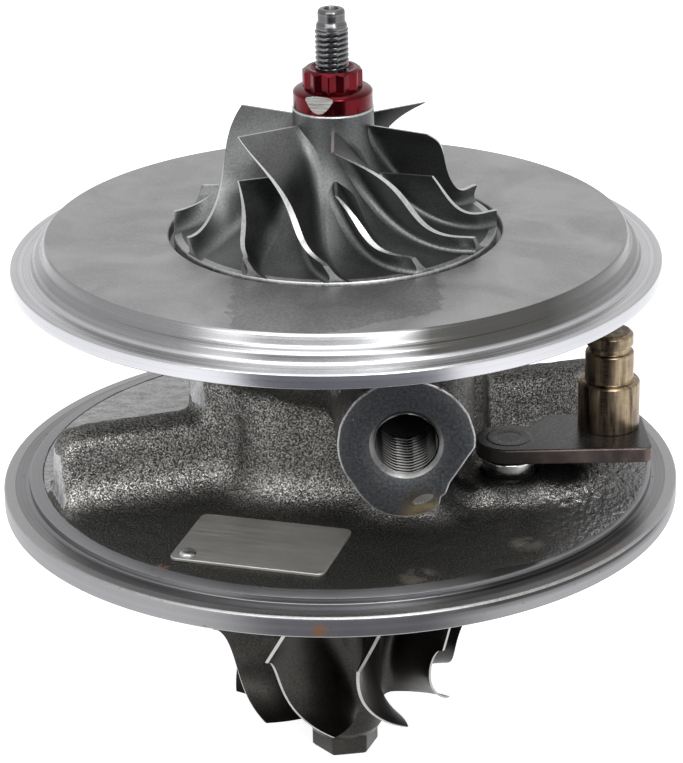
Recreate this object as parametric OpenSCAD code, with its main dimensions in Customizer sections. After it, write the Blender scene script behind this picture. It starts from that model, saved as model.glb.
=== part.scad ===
// Variable-vane turbocharger cartridge: rotor, bearings, centre housing, seal plate and vane lever.
// Millimetres. The rotor axis is Z; the underside of the turbine flange is z = 0 and the compressor is up.

/* [Centre housing] */
// Outside diameter of the turbine flange
flange_d = 105; // [102:0.5:110]
// Height of the straight outer wall of the turbine flange
flange_wall = 2.6; // [2:0.1:3.2]
// Height of the cast floor above the underside of the flange
floor_t = 4.6; // [4.2:0.1:5.4]
// Height of the seat face under the seal plate
seat_z = 33; // [32:0.25:36]
// Diameter of the round core of the body
core_d = 34; // [32:0.5:37]
// Diameter of the top flange of the body
crown_d = 56; // [52:0.5:60]
// Thickness of the two side webs
web_t = 6.7; // [5:0.1:8]
// Height of the top of the side webs
web_z = 16; // [13:0.25:18]

/* [Oil ports] */
// Sideways offset of the oil inlet
inlet_x = 9.6; // [8:0.1:11]
// Height of the oil inlet
inlet_z = 22.8; // [21:0.1:24]
// Distance from the rotor axis to the inlet face
inlet_reach = 37; // [34:0.5:40]
// Diameter of the inlet boss
inlet_boss_d = 20; // [18:0.25:21]
// Minor diameter of the inlet thread
inlet_bore_d = 9; // [8:0.1:10]
// Threaded depth of the inlet
inlet_depth = 10; // [8:0.5:12]
// Height of the oil drain
drain_z = 16.5; // [15.5:0.25:18]
// Distance from the rotor axis to the drain face
drain_reach = 34; // [31:0.5:37]
// Diameter of the drain opening
drain_bore_d = 14; // [12:0.25:15]
// Distance between the two drain bolt holes
drain_pitch = 36; // [34:0.5:38]
// Diameter of the tapped drain bolt holes
drain_bolt_d = 5; // [4:0.1:5.6]

/* [Seal plate] */
// Diameter of the lip
lip_d = 99; // [97:0.5:103]
// Thickness of the lip
lip_t = 2.3; // [1.8:0.1:3]
// Diameter of the compressor spigot
spigot_d = 89; // [86:0.5:90.5]
// Thickness of the plate from its seat to its face
plate_t = 9.8; // [9.2:0.1:11]
// Depth of the recess under the compressor wheel
recess_depth = 1.9; // [1.7:0.05:2.4]

/* [Compressor wheel] */
// Outside diameter of the wheel
wheel_d = 49; // [46:0.5:52]
// Diameter over the leading edges of the blades
inducer_d = 32.2; // [30:0.2:36]
// Height of the blades from the rim of the disc to the leading edges
blade_h = 17; // [15:0.2:19]
// Height of a blade at the rim
tip_h = 2.6; // [2.2:0.1:3.6]
// Diameter of the hub's nose
nose_d = 12.2; // [12:0.1:13]
// Number of full blades, with as many splitters between them
blade_count = 6; // [5:1:7]

/* [Turbine wheel] */
// Outside diameter of the wheel
turbine_d = 43; // [40:0.5:46]
// Diameter over the trailing edges
exducer_d = 35; // [32:0.5:37]
// Distance from the flange's underside down to the back of the wheel
turbine_gap = 12.6; // [12.2:0.1:15]
// Length of the wheel from its back to the trailing edges
turbine_len = 24.3; // [22:0.2:26]
// Height of the leading edges
inlet_h = 8.5; // [7.5:0.1:9.5]
// Number of blades
turbine_blades = 9; // [8:1:11]
// Width across the flats of the hex nose
hex_af = 9.4; // [8:0.1:10]

/* [Shaft and bearings] */
// Diameter of the journals
journal_d = 8; // [7.4:0.1:8.6]
// Diameter of the stub that carries the compressor wheel
stub_d = 5; // [4.6:0.1:5.4]
// Length of stub above the nut
thread_len = 7; // [5:0.2:9]
// Wall of a floating bearing
bearing_wall = 2.87; // [2.4:0.05:3.2]
// Length of a floating bearing
bearing_len = 7.5; // [6.5:0.1:7.8]
// Thickness of the thrust bearing
thrust_t = 3; // [2.4:0.1:3.4]
// Diameter of the nut's flange
nut_d = 12; // [11:0.1:12]
// Height of the nut
nut_h = 6; // [5:0.1:7]

/* [Vane lever] */
// Sideways place of the lever shaft
pivot_x = 25.75; // [25.6:0.05:26.6]
// Depth-wise place of the lever shaft, negative towards the oil inlet
pivot_y = -12.45; // [-13.4:0.05:-12.4]
// Height of the lever's upper face
lever_z = 13; // [12.8:0.1:14]
// Thickness of the lever
lever_t = 2.4; // [2:0.1:3]
// Diameter of the lever shaft
lever_shaft_d = 6; // [5.4:0.1:6.4]
// Distance from the shaft to the actuator pin along the lever
pin_reach = 16.05; // [15:0.05:16.8]
// Diameter of the actuator pin's collar
collar_d = 9.4; // [8.8:0.1:10]
// Diameter of the actuator pin where the rod sits
pin_d = 7.4; // [6.8:0.1:8]
// Distance from the shaft to the crank pin under the flange
crank_reach = 9; // [8:0.1:10]

/* [Nameplate] */
// Length of the nameplate
tag_len = 23.5; // [20:0.5:24]
// Width of the nameplate
tag_w = 15.8; // [13:0.2:16.4]
// Thickness of the nameplate
tag_t = 0.5; // [0.4:0.05:0.8]

/* [Hidden] */
$fn = 96;

// Named clearances: a running fit, the film at a thrust face, a slip fit within one body, and open air.
running = 0.05;
thrust_film = 0.1;
slip = 0.03;
air = 0.3;
// Overlap that joins the shapes of one casting, and the overshoot of a cut.
weld = 0.6;
cut = 0.5;

// Heights of the seal plate and of what hangs on it.
face_z = seat_z + plate_t;
lip_rise = 3.6;
lip_z = seat_z + lip_rise;
lip_chamfer = 0.5;
recess_z = face_z - recess_depth;
recess_gap = 0.8;
recess_r = wheel_d / 2 + recess_gap;

// Bearing bore and the parts in it, from the turbine side up.
journal_r = journal_d / 2;
bearing_r = journal_r + slip + bearing_wall;
bore_r = bearing_r + running;
ring_t = 1;
ring_groove_depth = 0.6;
ring_gap = 0.3;
bearing_t_z = -2.5;
bearing_c_z = seat_z - 16.5;
drain_cavity_r = 12.5;
cavity_wall = 1.3;

// Thrust parts, up from the shoulder of the shaft.
shoulder_z = bearing_c_z + bearing_len + 2 * ring_gap + ring_t + 0.1;
pocket_z = shoulder_z - air;
ring_disc_t = 2;
thrust_z = shoulder_z + ring_disc_t + thrust_film;
thrust_r = 13.5;
thrust_ring_r = 7.4;
thrust_neck_r = 4.6;
upper_ring_z = thrust_z + thrust_t + thrust_film;
upper_ring_t = 1.4;
deflector_t = 0.6;
sleeve_z = upper_ring_z + upper_ring_t;
sleeve_r = 6.2;
sleeve_collar_t = 0.8;
seal_bore_r = sleeve_r + thrust_film;
seal_ring_w = 1.2;
seal_ring_depth = 1;
wheel_base_z = recess_z - 1.5;
seal_ring_z = wheel_base_z - 3.4;

// Turbine end of the shaft.
hub_seal_r = 8.25;
nose_bore_r = hub_seal_r + thrust_film;
weld_line_z = 1 - turbine_gap;
nose_z = 2 - turbine_gap;
hub_top_z = bearing_t_z - 2.4;
nose_bore_z = hub_top_z + cut;
piston_ring_z = weld_line_z + 2.8;
piston_ring_w = 1.3;
piston_ring_depth = 1.25;

// Flange, spigot and nose of the housing.
flange_r = flange_d / 2;
rim_z = flange_wall + 0.6;
floor_r = flange_r - 6.1;
shield_seat_r = 24;
shield_seat_z = -2;
nose_r = 13.5;
shield_t = 0.8;
shield_cup_r = 20.4;
shield_hole_r = hub_seal_r + 0.95;

// Cast body.
core_r = core_d / 2;
crown_r = crown_d / 2;
crown_t = 3;
foot_r = 5.5;
foot_sink = 0.1;
o_ring_r = thrust_r + 2.3;
o_ring_d = 1.8;
o_ring_squeeze = 0.02;

// Screws that hold the seal plate, hidden under the compressor wheel.
screw_count = 4;
screw_d = 5;
screw_circle_r = recess_r - 4.8;
screw_head_r = 4.2;
screw_head_h = 2.5;
screw_bite = 4.8;

// Side webs, as azimuths of the two arms.
web_left = 198;
web_right = 15;
web_end_r = floor_r - 0.2;

// Compressor wheel.
wheel_r = wheel_d / 2;
disc_z = face_z + 0.2;
disc_t = 1.4;
lead_z = disc_z + blade_h;
nut_rise = 2.2;
nut_z = lead_z + nut_rise;
hub_r = nose_d / 2;
nut_turn = -8;
full_start = -90.7;
exit_lean = 4;
splitter_from = 0.28;
splitter_start = -89;
// Wrap of a blade at its tip in degrees, as a power series of the way along the flow.
full_wrap = [200, -385.5, 364.4, -121.6];
splitter_wrap = [46, -59.1, 39.4];
// How square the shroud line turns, along the radius and along the axis.
shroud_bend = [0.63, 0.92];
blade_root = 0.8;
tip_inset = 0.2;

// Turbine wheel.
turbine_r = turbine_d / 2;
turbine_back_z = -turbine_gap;
turbine_rim_t = 0.8;
turbine_root = 0.5;
turbine_disc_r = turbine_r - 0.5;
trail_z = turbine_back_z - turbine_len;
turbine_hub_r = 6.4;
turbine_start = -110.5;
hex_h = 3.4;
nose_len = 5.6;
hex_turn = 8.6;

// Vane lever.
lever_bottom = lever_z - lever_t;
bush_wall = 1;
bush_bore_r = lever_shaft_d / 2 + running;
bush_r = bush_bore_r + bush_wall;
bush_top = lever_bottom - 0.4;
bush_show = 1.8;
bush_drop = 1;
pad_z = bush_top - bush_show;
pad_r = 6.9;
pad_foot = 3.6;
// Lobes that carry the pad on to the inlet boss and towards the rim: place from the pivot, radius and drop.
pad_lobes = [[-7.2, -1.5, 6.4, 0.5], [7.4, 0.5, 6, 0.7], [10.8, 2, 4.2, 1.1]];
rivet_r = 3.7;
pin_turn = 15.55;
pin_x = pin_reach * cos(pin_turn);
pin_y = pin_reach * sin(pin_turn);
lever_end_r = 5.1;
crank_t = 2.2;
crank_z = -bush_drop - 0.2 - crank_t;
crank_end_r = 4;
crank_clear = 0.5;
crank_pin_r = 2.5;
crank_pin_len = 4.6;
crank_turn = atan2(pivot_y, pivot_x);

// Nameplate, on the floor between the left web and the inlet, at a share of the way from the core's foot
// to the edge of the floor.
tag_x = -11.7;
tag_share = 0.38;
tag_y = -mix(core_r + foot_r, floor_r, tag_share);
tag_turn = -16.6;
tag_corner = 1.2;
rivet_inset = [2.3, 1.9];
tag_rivet_r = 0.9;

// Half of a turned foot: down through the floor and up a fillet to the wall at radius r.
function foot_profile(r, fillet) =
    concat([[0, floor_t - weld], [r + fillet, floor_t - weld]],
        arc([r + fillet, floor_t - foot_sink + fillet], fillet, -90, -180));

// Points along an arc in a profile.
function arc(center, r, from, to, steps = 5) =
    [for (i = [0 : steps])
        let (a = mix(from, to, i / steps))
        center + r * [cos(a), sin(a)]];

function mix(a, b, t) = a + (b - a) * t;

// Turned ring with a rectangular section.
module ring(outer, inner, height) {
    difference() {
        cylinder(h = height, r = outer);
        translate([0, 0, -cut])
            cylinder(h = height + 2 * cut, r = inner);
    }
}

// Snap or piston ring with a gap in it.
module split_ring(outer, inner, height, gap) {
    difference() {
        ring(outer, inner, height);
        translate([0, -gap / 2, -cut])
            cube([outer + cut, gap, height + 2 * cut]);
    }
}

// Drilled hole from one point to another.
module drilling(from, to, r) {
    way = to - from;
    length = norm(way);
    translate(from)
        rotate([0, acos(way.z / length), atan2(way.y, way.x)])
            cylinder(h = length, r = r);
}

// Blade lofted between a root line and a tip line.
// camber(t, q) gives [radius, height, azimuth] and half(t, q) the half thickness,
// t along the flow, q root to tip.
module lofted_blade(camber, half, steps, rows) {
    row = rows + 1;
    side = (steps + 1) * row;
    points = [for (face = [-1, 1], i = [0 : steps], j = [0 : rows])
        let (t = i / steps, q = j / rows, c = camber(t, q), a = c[2] + face * half(t, q) / c[0] * 180 / PI)
        [c[0] * cos(a), c[0] * sin(a), c[1]]];
    low = [for (i = [0 : steps - 1], j = [0 : rows - 1]) each quad(i * row + j, i * row + j + 1, row)];
    high = [for (f = low) [f[2] + side, f[1] + side, f[0] + side]];
    ends = concat([for (j = [0 : rows - 1]) each band(j, j + 1, side)],
        [for (j = [0 : rows - 1]) each band(steps * row + j + 1, steps * row + j, side)]);
    edges = concat([for (i = [0 : steps - 1]) each band((i + 1) * row, i * row, side)],
        [for (i = [0 : steps - 1]) each band(i * row + rows, (i + 1) * row + rows, side)]);
    polyhedron(points, concat(low, high, ends, edges), convexity = 6);
}

// Two triangles of a blade's side, and two across its edge.
function quad(a, b, row) = [[a, b, b + row], [a, b + row, a + row]];
function band(a, b, side) = [[b, a, a + side], [b, a + side, b + side]];

// Turned outline of the flange, with the spigot and nose towards the turbine.
module flange_disc() {
    step_r = flange_r - 3.2;
    rotate_extrude()
        polygon(concat(
            [[0, nose_z], [nose_r - 1, nose_z], [nose_r, nose_z + 1], [nose_r, shield_seat_z]],
            [[shield_seat_r, shield_seat_z], [shield_seat_r, 0], [flange_r, 0]],
            [[flange_r, flange_wall], [flange_r - 1.1, rim_z], [step_r, rim_z], [step_r - 0.7, rim_z + 0.4]],
            [[floor_r, floor_t], [0, floor_t]]));
}

// Round part of the casting that stands on the floor with a fillet at its foot.
module lobe(r, top, foot = foot_r) {
    rotate_extrude()
        polygon(concat(foot_profile(r, foot), [[r, top], [0, top]]));
}

// Core of the body, flaring to the crown under the seal plate.
module core() {
    neck_z = seat_z - crown_t - (crown_r - core_r) * 0.9;
    rotate_extrude()
        polygon(concat(foot_profile(core_r, foot_r),
            [[core_r, neck_z], [crown_r, seat_z - crown_t], [crown_r, seat_z], [0, seat_z]]));
}

// Tall web from the core to the rim of the floor, with drafted walls and rounded edges.
module web(turn) {
    foot = 5;
    edge = 1.5;
    end_round = 4;
    draft = 0.4;
    half = web_t / 2;
    section = concat(arc([half + draft + foot, floor_t - foot_sink + foot], foot, -90, -180),
        arc([half - edge, web_z - edge], edge, 0, 90));
    mirrored = [for (i = [len(section) - 1 : -1 : 0]) [-section[i].x, section[i].y]];
    base = [[-section[0].x, floor_t - weld], [section[0].x, floor_t - weld]];
    rotate(turn)
        intersection() {
            rotate([90, 0, 90])
                linear_extrude(web_end_r)
                    polygon(concat(base, section, mirrored));
            rotate([90, 0, 0])
                linear_extrude(crown_d, center = true)
                    polygon(concat([[0, 0], [web_end_r - 1, 0]],
                        arc([web_end_r - 1 - end_round, web_z - end_round], end_round, 0, 90), [[0, web_z]]));
        }
}

// Inlet boss with casting draft, trimmed flat beside the lever.
module inlet_boss() {
    draft = 1.5;
    trim_turn = 32;
    trim_reach = 8.7;
    boss_r = inlet_boss_d / 2;
    difference() {
        translate([inlet_x, -inlet_reach, inlet_z])
            rotate([-90, 0, 0])
                cylinder(h = inlet_reach, r1 = boss_r, r2 = boss_r + draft);
        translate([inlet_x, -inlet_reach - cut, inlet_z])
            rotate([0, trim_turn, 0])
                translate([trim_reach, 0, -inlet_boss_d])
                    cube([inlet_boss_d, inlet_reach / 2, 2 * inlet_boss_d]);
        translate([inlet_x - inlet_boss_d, -inlet_reach - cut, seat_z - air])
            cube([2 * inlet_boss_d, inlet_reach + 2 * cut, inlet_boss_d]);
    }
}

// Two-bolt boss of the oil drain.
module drain_boss() {
    middle_r = drain_bore_d / 2 + 3.5;
    ear_r = drain_bolt_d / 2 + 3.7;
    bridge = 1.7 * ear_r;
    translate([0, drain_reach, drain_z])
        rotate([90, 0, 0])
            linear_extrude(drain_reach - core_r / 2) {
                circle(middle_r);
                for (s = [-1, 1])
                    translate([s * drain_pitch / 2, 0])
                        circle(ear_r);
                square([drain_pitch, bridge], center = true);
            }
}

// Room for the end of the crank arm to turn in, kept free of the spigot and of the shield's rim.
module crank_relief() {
    relief_z = crank_z - cut;
    pivot_place(relief_z)
        cylinder(h = -running - relief_z, r = crank_end_r + crank_clear);
}

// Raised pad round the lever bush.
module lever_pad() {
    translate([pivot_x, pivot_y])
        lobe(pad_r, pad_z, pad_foot);
    for (side = pad_lobes)
        translate([pivot_x + side[0], pivot_y + side[1]])
            lobe(side[2], pad_z - side[3], pad_foot - side[3]);
}

// Oil inlet with its chamfer, and the drillings to both bearings.
module oil_ways() {
    inlet_r = inlet_bore_d / 2;
    chamfer = 0.6;
    drill_r = 1.6;
    port_end = [inlet_x, inlet_depth - inlet_reach, inlet_z];
    upper_feed = [0, 1 - bore_r, bearing_c_z + bearing_len / 2];
    lower_feed = [0, 1 - bore_r, bearing_t_z + bearing_len / 2];
    translate([inlet_x, -inlet_reach, inlet_z])
        rotate([-90, 0, 0]) {
            translate([0, 0, -cut])
                cylinder(h = inlet_depth + cut, r = inlet_r);
            translate([0, 0, inlet_depth])
                cylinder(h = inlet_r / 2, r1 = inlet_r, r2 = drill_r);
            translate([0, 0, -cut])
                cylinder(h = chamfer + cut, r1 = inlet_r + chamfer + cut, r2 = inlet_r);
        }
    drilling(port_end, upper_feed, drill_r);
    drilling(port_end + [-2, 4, -1], lower_feed, drill_r);
}

// Bearing bore, ring grooves, oil cavity, thrust pocket and seal bore.
module housing_bores() {
    bearing_rings = [bearing_t_z - ring_gap - ring_t, bearing_t_z + bearing_len + ring_gap,
        bearing_c_z - ring_gap - ring_t, bearing_c_z + bearing_len + ring_gap];
    cavity_z = bearing_rings[1] + ring_t + cavity_wall;
    cavity_h = bearing_rings[2] - cavity_wall - cavity_z;
    translate([0, 0, nose_z - cut])
        cylinder(h = pocket_z - nose_z + 2 * cut, r = bore_r);
    translate([0, 0, nose_z - cut])
        cylinder(h = nose_bore_z - nose_z + cut, r = nose_bore_r);
    for (z = bearing_rings)
        translate([0, 0, z])
            cylinder(h = ring_t, r = bore_r + ring_groove_depth);
    translate([0, 0, cavity_z])
        cylinder(h = cavity_h, r = drain_cavity_r);
    translate([0, 0, pocket_z])
        cylinder(h = seat_z, r = thrust_ring_r + 0.8);
    translate([0, 0, thrust_z])
        cylinder(h = seat_z, r = thrust_r + slip);
    translate([0, drain_reach + cut, drain_z])
        rotate([90, 0, 0])
            cylinder(h = drain_reach + cut - drain_cavity_r + 3, r = drain_bore_d / 2);
    translate([0, 0, seat_z - o_ring_d])
        ring(o_ring_r + o_ring_d / 2, o_ring_r - o_ring_d / 2, o_ring_d + cut);
}

module center_housing() {
    drain_bolt_depth = 12;
    side_lobe = [core_r * 0.71, 1, core_r * 0.65];
    front_lobe = [-core_r * 0.45, -core_r * 0.47, core_r / 2];
    color("dimgray")
        difference() {
            union() {
                flange_disc();
                core();
                for (s = [-1, 1])
                    translate([s * side_lobe.x, s * side_lobe.y])
                        lobe(side_lobe.z, seat_z - crown_t - 2);
                translate([front_lobe.x, front_lobe.y])
                    lobe(front_lobe.z, seat_z - crown_t - 1);
                translate([inlet_x + 0.9, -core_r])
                    lobe(inlet_boss_d / 3, inlet_z, foot_r - 0.5);
                web(web_left);
                web(web_right);
                inlet_boss();
                drain_boss();
                lever_pad();
            }
            housing_bores();
            oil_ways();
            crank_relief();
            translate([pivot_x, pivot_y, -cut])
                cylinder(h = pad_z + 2 * cut, r = bush_r);
            for (s = [-1, 1])
                translate([s * drain_pitch / 2, drain_reach + cut, drain_z])
                    rotate([90, 0, 0])
                        cylinder(h = drain_bolt_depth + cut, r = drain_bolt_d / 2);
            seal_screw_places(seat_z - screw_bite - 1.2)
                cylinder(h = seat_z, r = screw_d / 2 + slip);
            tag_place()
                translate(concat(rivet_inset, -3))
                    cylinder(h = 3 + cut, r = tag_rivet_r + slip);
        }
}

// Puts its children at the seal plate screws.
module seal_screw_places(z) {
    for (i = [0 : screw_count - 1])
        rotate(45 + i * 360 / screw_count)
            translate([screw_circle_r, 0, z])
                children();
}

// Countersunk head, wide end up at its own origin.
module countersink(grow) {
    translate([0, 0, -screw_head_h])
        cylinder(h = screw_head_h, r1 = screw_d / 2 + grow, r2 = screw_head_r + grow);
}

module seal_plate() {
    spigot_r = spigot_d / 2;
    lip_r = lip_d / 2;
    bevel = 0.4;
    ledge_z = lip_z + lip_t + 2;
    step_r = mix(spigot_r, lip_r, 0.3);
    root_r = mix(spigot_r, lip_r, 0.48);
    cavity_r = thrust_r - 2.5;
    cavity_z = sleeve_z + 1.8;
    clamp_z = thrust_z + thrust_t + deflector_t;
    color("silver")
        difference() {
            rotate_extrude()
                polygon(concat(
                    [[seal_bore_r, cavity_z], [cavity_r, cavity_z], [cavity_r, clamp_z]],
                    [[thrust_r - slip, clamp_z], [thrust_r - slip, seat_z], [crown_r, seat_z]],
                    [[crown_r, lip_z - 1], [crown_r + 1, lip_z]],
                    [[lip_r - bevel, lip_z], [lip_r, lip_z + bevel], [lip_r, lip_z + lip_t - lip_chamfer]],
                    [[lip_r - lip_chamfer, lip_z + lip_t], [root_r, lip_z + lip_t], [root_r, ledge_z - 0.9]],
                    [[step_r, ledge_z - 0.8], [step_r, ledge_z], [spigot_r, ledge_z + 0.1]],
                    [[spigot_r, face_z - bevel], [spigot_r - bevel, face_z], [recess_r + 0.2, face_z]],
                    [[recess_r, face_z - 0.2], [recess_r, recess_z], [seal_bore_r, recess_z]]));
            seal_screw_places(recess_z) {
                countersink(slip);
                translate([0, 0, -plate_t])
                    cylinder(h = plate_t, r = screw_d / 2 + 2 * slip);
            }
        }
}

module seal_plate_screws() {
    length = recess_z - seat_z + screw_bite;
    socket_af = 3;
    color("gray")
        seal_screw_places(recess_z)
            difference() {
                union() {
                    countersink(0);
                    translate([0, 0, -length])
                        cylinder(h = length - screw_head_h / 2, r = screw_d / 2);
                }
                translate([0, 0, -1.6])
                    cylinder(h = 1.6 + cut, r = socket_af / sqrt(3), $fn = 6);
            }
}

module seal_plate_o_ring() {
    color("black")
        translate([0, 0, seat_z - o_ring_d / 2])
            rotate_extrude()
                translate([o_ring_r, 0])
                    circle(o_ring_d / 2 - o_ring_squeeze, $fn = 32);
}

module thrust_bearing() {
    pad_count = 3;
    color("peru")
        difference() {
            translate([0, 0, thrust_z])
                ring(thrust_r, thrust_neck_r + thrust_film, thrust_t);
            for (i = [0 : pad_count - 1])
                rotate(i * 360 / pad_count)
                    translate([0, -0.5, thrust_z + thrust_t - 0.4])
                        cube([thrust_ring_r + 0.6, 1, 1]);
        }
}

// Dished sheet ring clamped on the thrust bearing by the seal plate.
module oil_deflector() {
    base_z = thrust_z + thrust_t;
    rim_r = thrust_r - 2.6;
    hole_r = thrust_ring_r + 0.8;
    rise = 1.2;
    color("lightsteelblue")
        rotate_extrude()
            polygon([[thrust_r - slip, base_z], [thrust_r - slip, base_z + deflector_t],
                [rim_r, base_z + deflector_t], [rim_r - rise, base_z + rise + deflector_t],
                [hole_r, base_z + rise + deflector_t],
                [hole_r, base_z + rise], [rim_r - rise - 0.2, base_z + rise], [rim_r - 0.2, base_z]]);
}

module bearing_retaining_rings() {
    ring_inner = journal_r + 1.4;
    color("gray")
        for (z = [bearing_t_z - ring_gap - ring_t, bearing_t_z + bearing_len + ring_gap,
            bearing_c_z - ring_gap - ring_t, bearing_c_z + bearing_len + ring_gap])
            translate([0, 0, z + slip])
                split_ring(bore_r + ring_groove_depth - slip, ring_inner, ring_t - 2 * slip, 4);
}

module turbine_piston_ring() {
    color("gray")
        translate([0, 0, piston_ring_z + slip])
            split_ring(nose_bore_r, nose_bore_r - piston_ring_depth, piston_ring_w - 2 * slip, 0.4);
}

module compressor_piston_ring() {
    color("gray")
        translate([0, 0, seal_ring_z + slip])
            split_ring(seal_bore_r, seal_bore_r - seal_ring_depth, seal_ring_w - 2 * slip, 0.4);
}

// Pressed cup between the housing and the back of the turbine wheel.
module heat_shield() {
    low_z = nose_z - 0.2 - shield_t;
    bend = 2;
    rim_z = shield_seat_z - shield_t;
    outer_bend = arc([shield_cup_r - bend, low_z + bend], bend, -90, 0);
    inner_bend = arc([shield_cup_r - bend, low_z + bend], bend - shield_t, 0, -90);
    color("rosybrown")
        difference() {
            rotate_extrude()
                polygon(concat([[shield_hole_r, low_z]], outer_bend,
                    [[shield_cup_r, rim_z], [shield_seat_r, rim_z], [shield_seat_r, shield_seat_z]],
                    [[shield_cup_r - shield_t, shield_seat_z]], inner_bend,
                    [[shield_hole_r, low_z + shield_t]]));
            crank_relief();
        }
}

module lever_bush() {
    color("gainsboro")
        translate([pivot_x, pivot_y, -bush_drop])
            ring(bush_r, bush_bore_r, bush_top + bush_drop);
}

// Puts its children on the floor at the corner of the nameplate.
module tag_place() {
    translate([tag_x, tag_y, floor_t])
        rotate(tag_turn)
            translate([-tag_len / 2, -tag_w / 2])
                children();
}

module nameplate() {
    color("darkgray")
        tag_place()
            difference() {
                linear_extrude(tag_t) {
                    for (x = [tag_corner, tag_len - tag_corner], y = [tag_corner, tag_w - tag_corner])
                        translate([x, y])
                            circle(tag_corner);
                    translate([tag_corner, 0])
                        square([tag_len - 2 * tag_corner, tag_w]);
                    translate([0, tag_corner])
                        square([tag_len, tag_w - 2 * tag_corner]);
                }
                translate(concat(rivet_inset, -cut))
                    cylinder(h = 1 + 2 * cut, r = tag_rivet_r + slip);
            }
}

module nameplate_rivet() {
    head_r = 1.3;
    head_h = 0.7;
    ball_r = (head_r * head_r + head_h * head_h) / (2 * head_h);
    color("lightgray")
        tag_place()
            translate(concat(rivet_inset, tag_t)) {
                translate([0, 0, -2.6 - tag_t])
                    cylinder(h = 2.6 + tag_t + 0.1, r = tag_rivet_r);
                intersection() {
                    translate([0, 0, head_h - ball_r])
                        sphere(ball_r);
                    cylinder(h = 2 * head_h, r = head_r);
                }
            }
}

// Floating bearing with an oil groove round it and four cross holes.
module journal_bearing(z) {
    groove_w = 1.6;
    hole_r = 0.7;
    color("goldenrod")
        translate([0, 0, z])
            difference() {
                ring(bearing_r, journal_r + slip, bearing_len);
                translate([0, 0, (bearing_len - groove_w) / 2])
                    ring(bearing_r + cut, bearing_r - 0.4, groove_w);
                for (i = [0 : 1])
                    translate([0, 0, bearing_len / 2])
                        rotate([90, 0, i * 90])
                            cylinder(h = 3 * bearing_r, r = hole_r, center = true);
            }
}

module journal_bearing_turbine() {
    journal_bearing(bearing_t_z);
}

module journal_bearing_compressor() {
    journal_bearing(bearing_c_z);
}

// Turbine hub line: radial at the disc, axial at the trailing edges. sunk moves it into the metal.
function turbine_hub(t, sunk = 0) =
    let (rim = turbine_disc_r - (sunk > 0 ? tip_inset : 0))
    [rim - (rim - turbine_hub_r + sunk) * sin(90 * t),
     trail_z + (turbine_len - turbine_rim_t + sunk) * cos(90 * t)];
function turbine_shroud(t) =
    [turbine_r - (turbine_d - exducer_d) / 2 * sin(90 * t),
     trail_z + 1.4 + (turbine_len - turbine_rim_t - inlet_h - 1.4) * cos(90 * t)];
function turbine_camber(t, q) =
    let (p = mix(turbine_hub(t, turbine_root), turbine_shroud(t), q),
        lead = turbine_start - 13.2 * q, turned = 34 - 6.1 * q)
    [p.x, p.y, lead + turned * pow(t, 3 + 3 * q)];
function turbine_half(t, q) = mix(mix(0.75, 0.4, q), mix(0.5, 0.3, q), t);

module turbine_wheel() {
    nose_end = trail_z - nose_len;
    hex_r = hex_af / sqrt(3);
    color([0.22, 0.2, 0.19]) {
        union() {
            rotate_extrude()
                polygon(concat([[0, weld_line_z], [hub_seal_r, weld_line_z], [hub_seal_r, turbine_back_z]],
                    [[turbine_disc_r, turbine_back_z]], [for (i = [0 : 9]) turbine_hub(i / 9)],
                    [[turbine_hub_r - 0.2, nose_end + 1], [hex_r - 0.4, nose_end - 0.1], [0, nose_end - 0.1]]));
            translate([0, 0, nose_end - hex_h])
                rotate(hex_turn)
                    cylinder(h = hex_h, r = hex_r, $fn = 6);
            for (i = [0 : turbine_blades - 1])
                rotate(i * 360 / turbine_blades)
                    lofted_blade(function (t, q) turbine_camber(t, q),
                        function (t, q) turbine_half(t, q), 12, 3);
        }
    }
}

module rotor_shaft() {
    groove_r = nose_bore_r - piston_ring_depth - 0.3;
    waist_r = journal_r - 0.4;
    waist_low = bearing_t_z + bearing_len + 1.5;
    waist_high = bearing_c_z - 1.5;
    tip_z = nut_z + nut_h + thread_len;
    tip_h = 1.9;
    tip_r = stub_d * 0.41;
    color("lightslategray")
        difference() {
            rotate_extrude()
                polygon([[0, weld_line_z], [hub_seal_r, weld_line_z], [hub_seal_r, piston_ring_z],
                    [groove_r, piston_ring_z], [groove_r, piston_ring_z + piston_ring_w],
                    [hub_seal_r, piston_ring_z + piston_ring_w], [hub_seal_r, hub_top_z - 0.6],
                    [hub_seal_r - 0.6, hub_top_z], [journal_r, hub_top_z], [journal_r, waist_low],
                    [waist_r, waist_low + 0.4], [waist_r, waist_high - 0.4], [journal_r, waist_high],
                    [journal_r, shoulder_z], [stub_d / 2, shoulder_z], [stub_d / 2, tip_z - 0.5],
                    [tip_r, tip_z], [tip_r, tip_z + tip_h - 0.3], [tip_r - 0.3, tip_z + tip_h],
                    [0, tip_z + tip_h]]);
            translate([0, 0, tip_z + tip_h - 1.2])
                cylinder(h = 1.2 + cut, r1 = 0.3, r2 = 1.1);
        }
}

module thrust_ring_lower() {
    color("slategray")
        rotate_extrude()
            polygon([[stub_d / 2 + slip, shoulder_z], [thrust_ring_r, shoulder_z],
                [thrust_ring_r, shoulder_z + ring_disc_t], [thrust_neck_r, shoulder_z + ring_disc_t],
                [thrust_neck_r, upper_ring_z], [stub_d / 2 + slip, upper_ring_z]]);
}

module thrust_ring_upper() {
    color("slategray")
        translate([0, 0, upper_ring_z])
            ring(thrust_ring_r, stub_d / 2 + slip, upper_ring_t);
}

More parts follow.
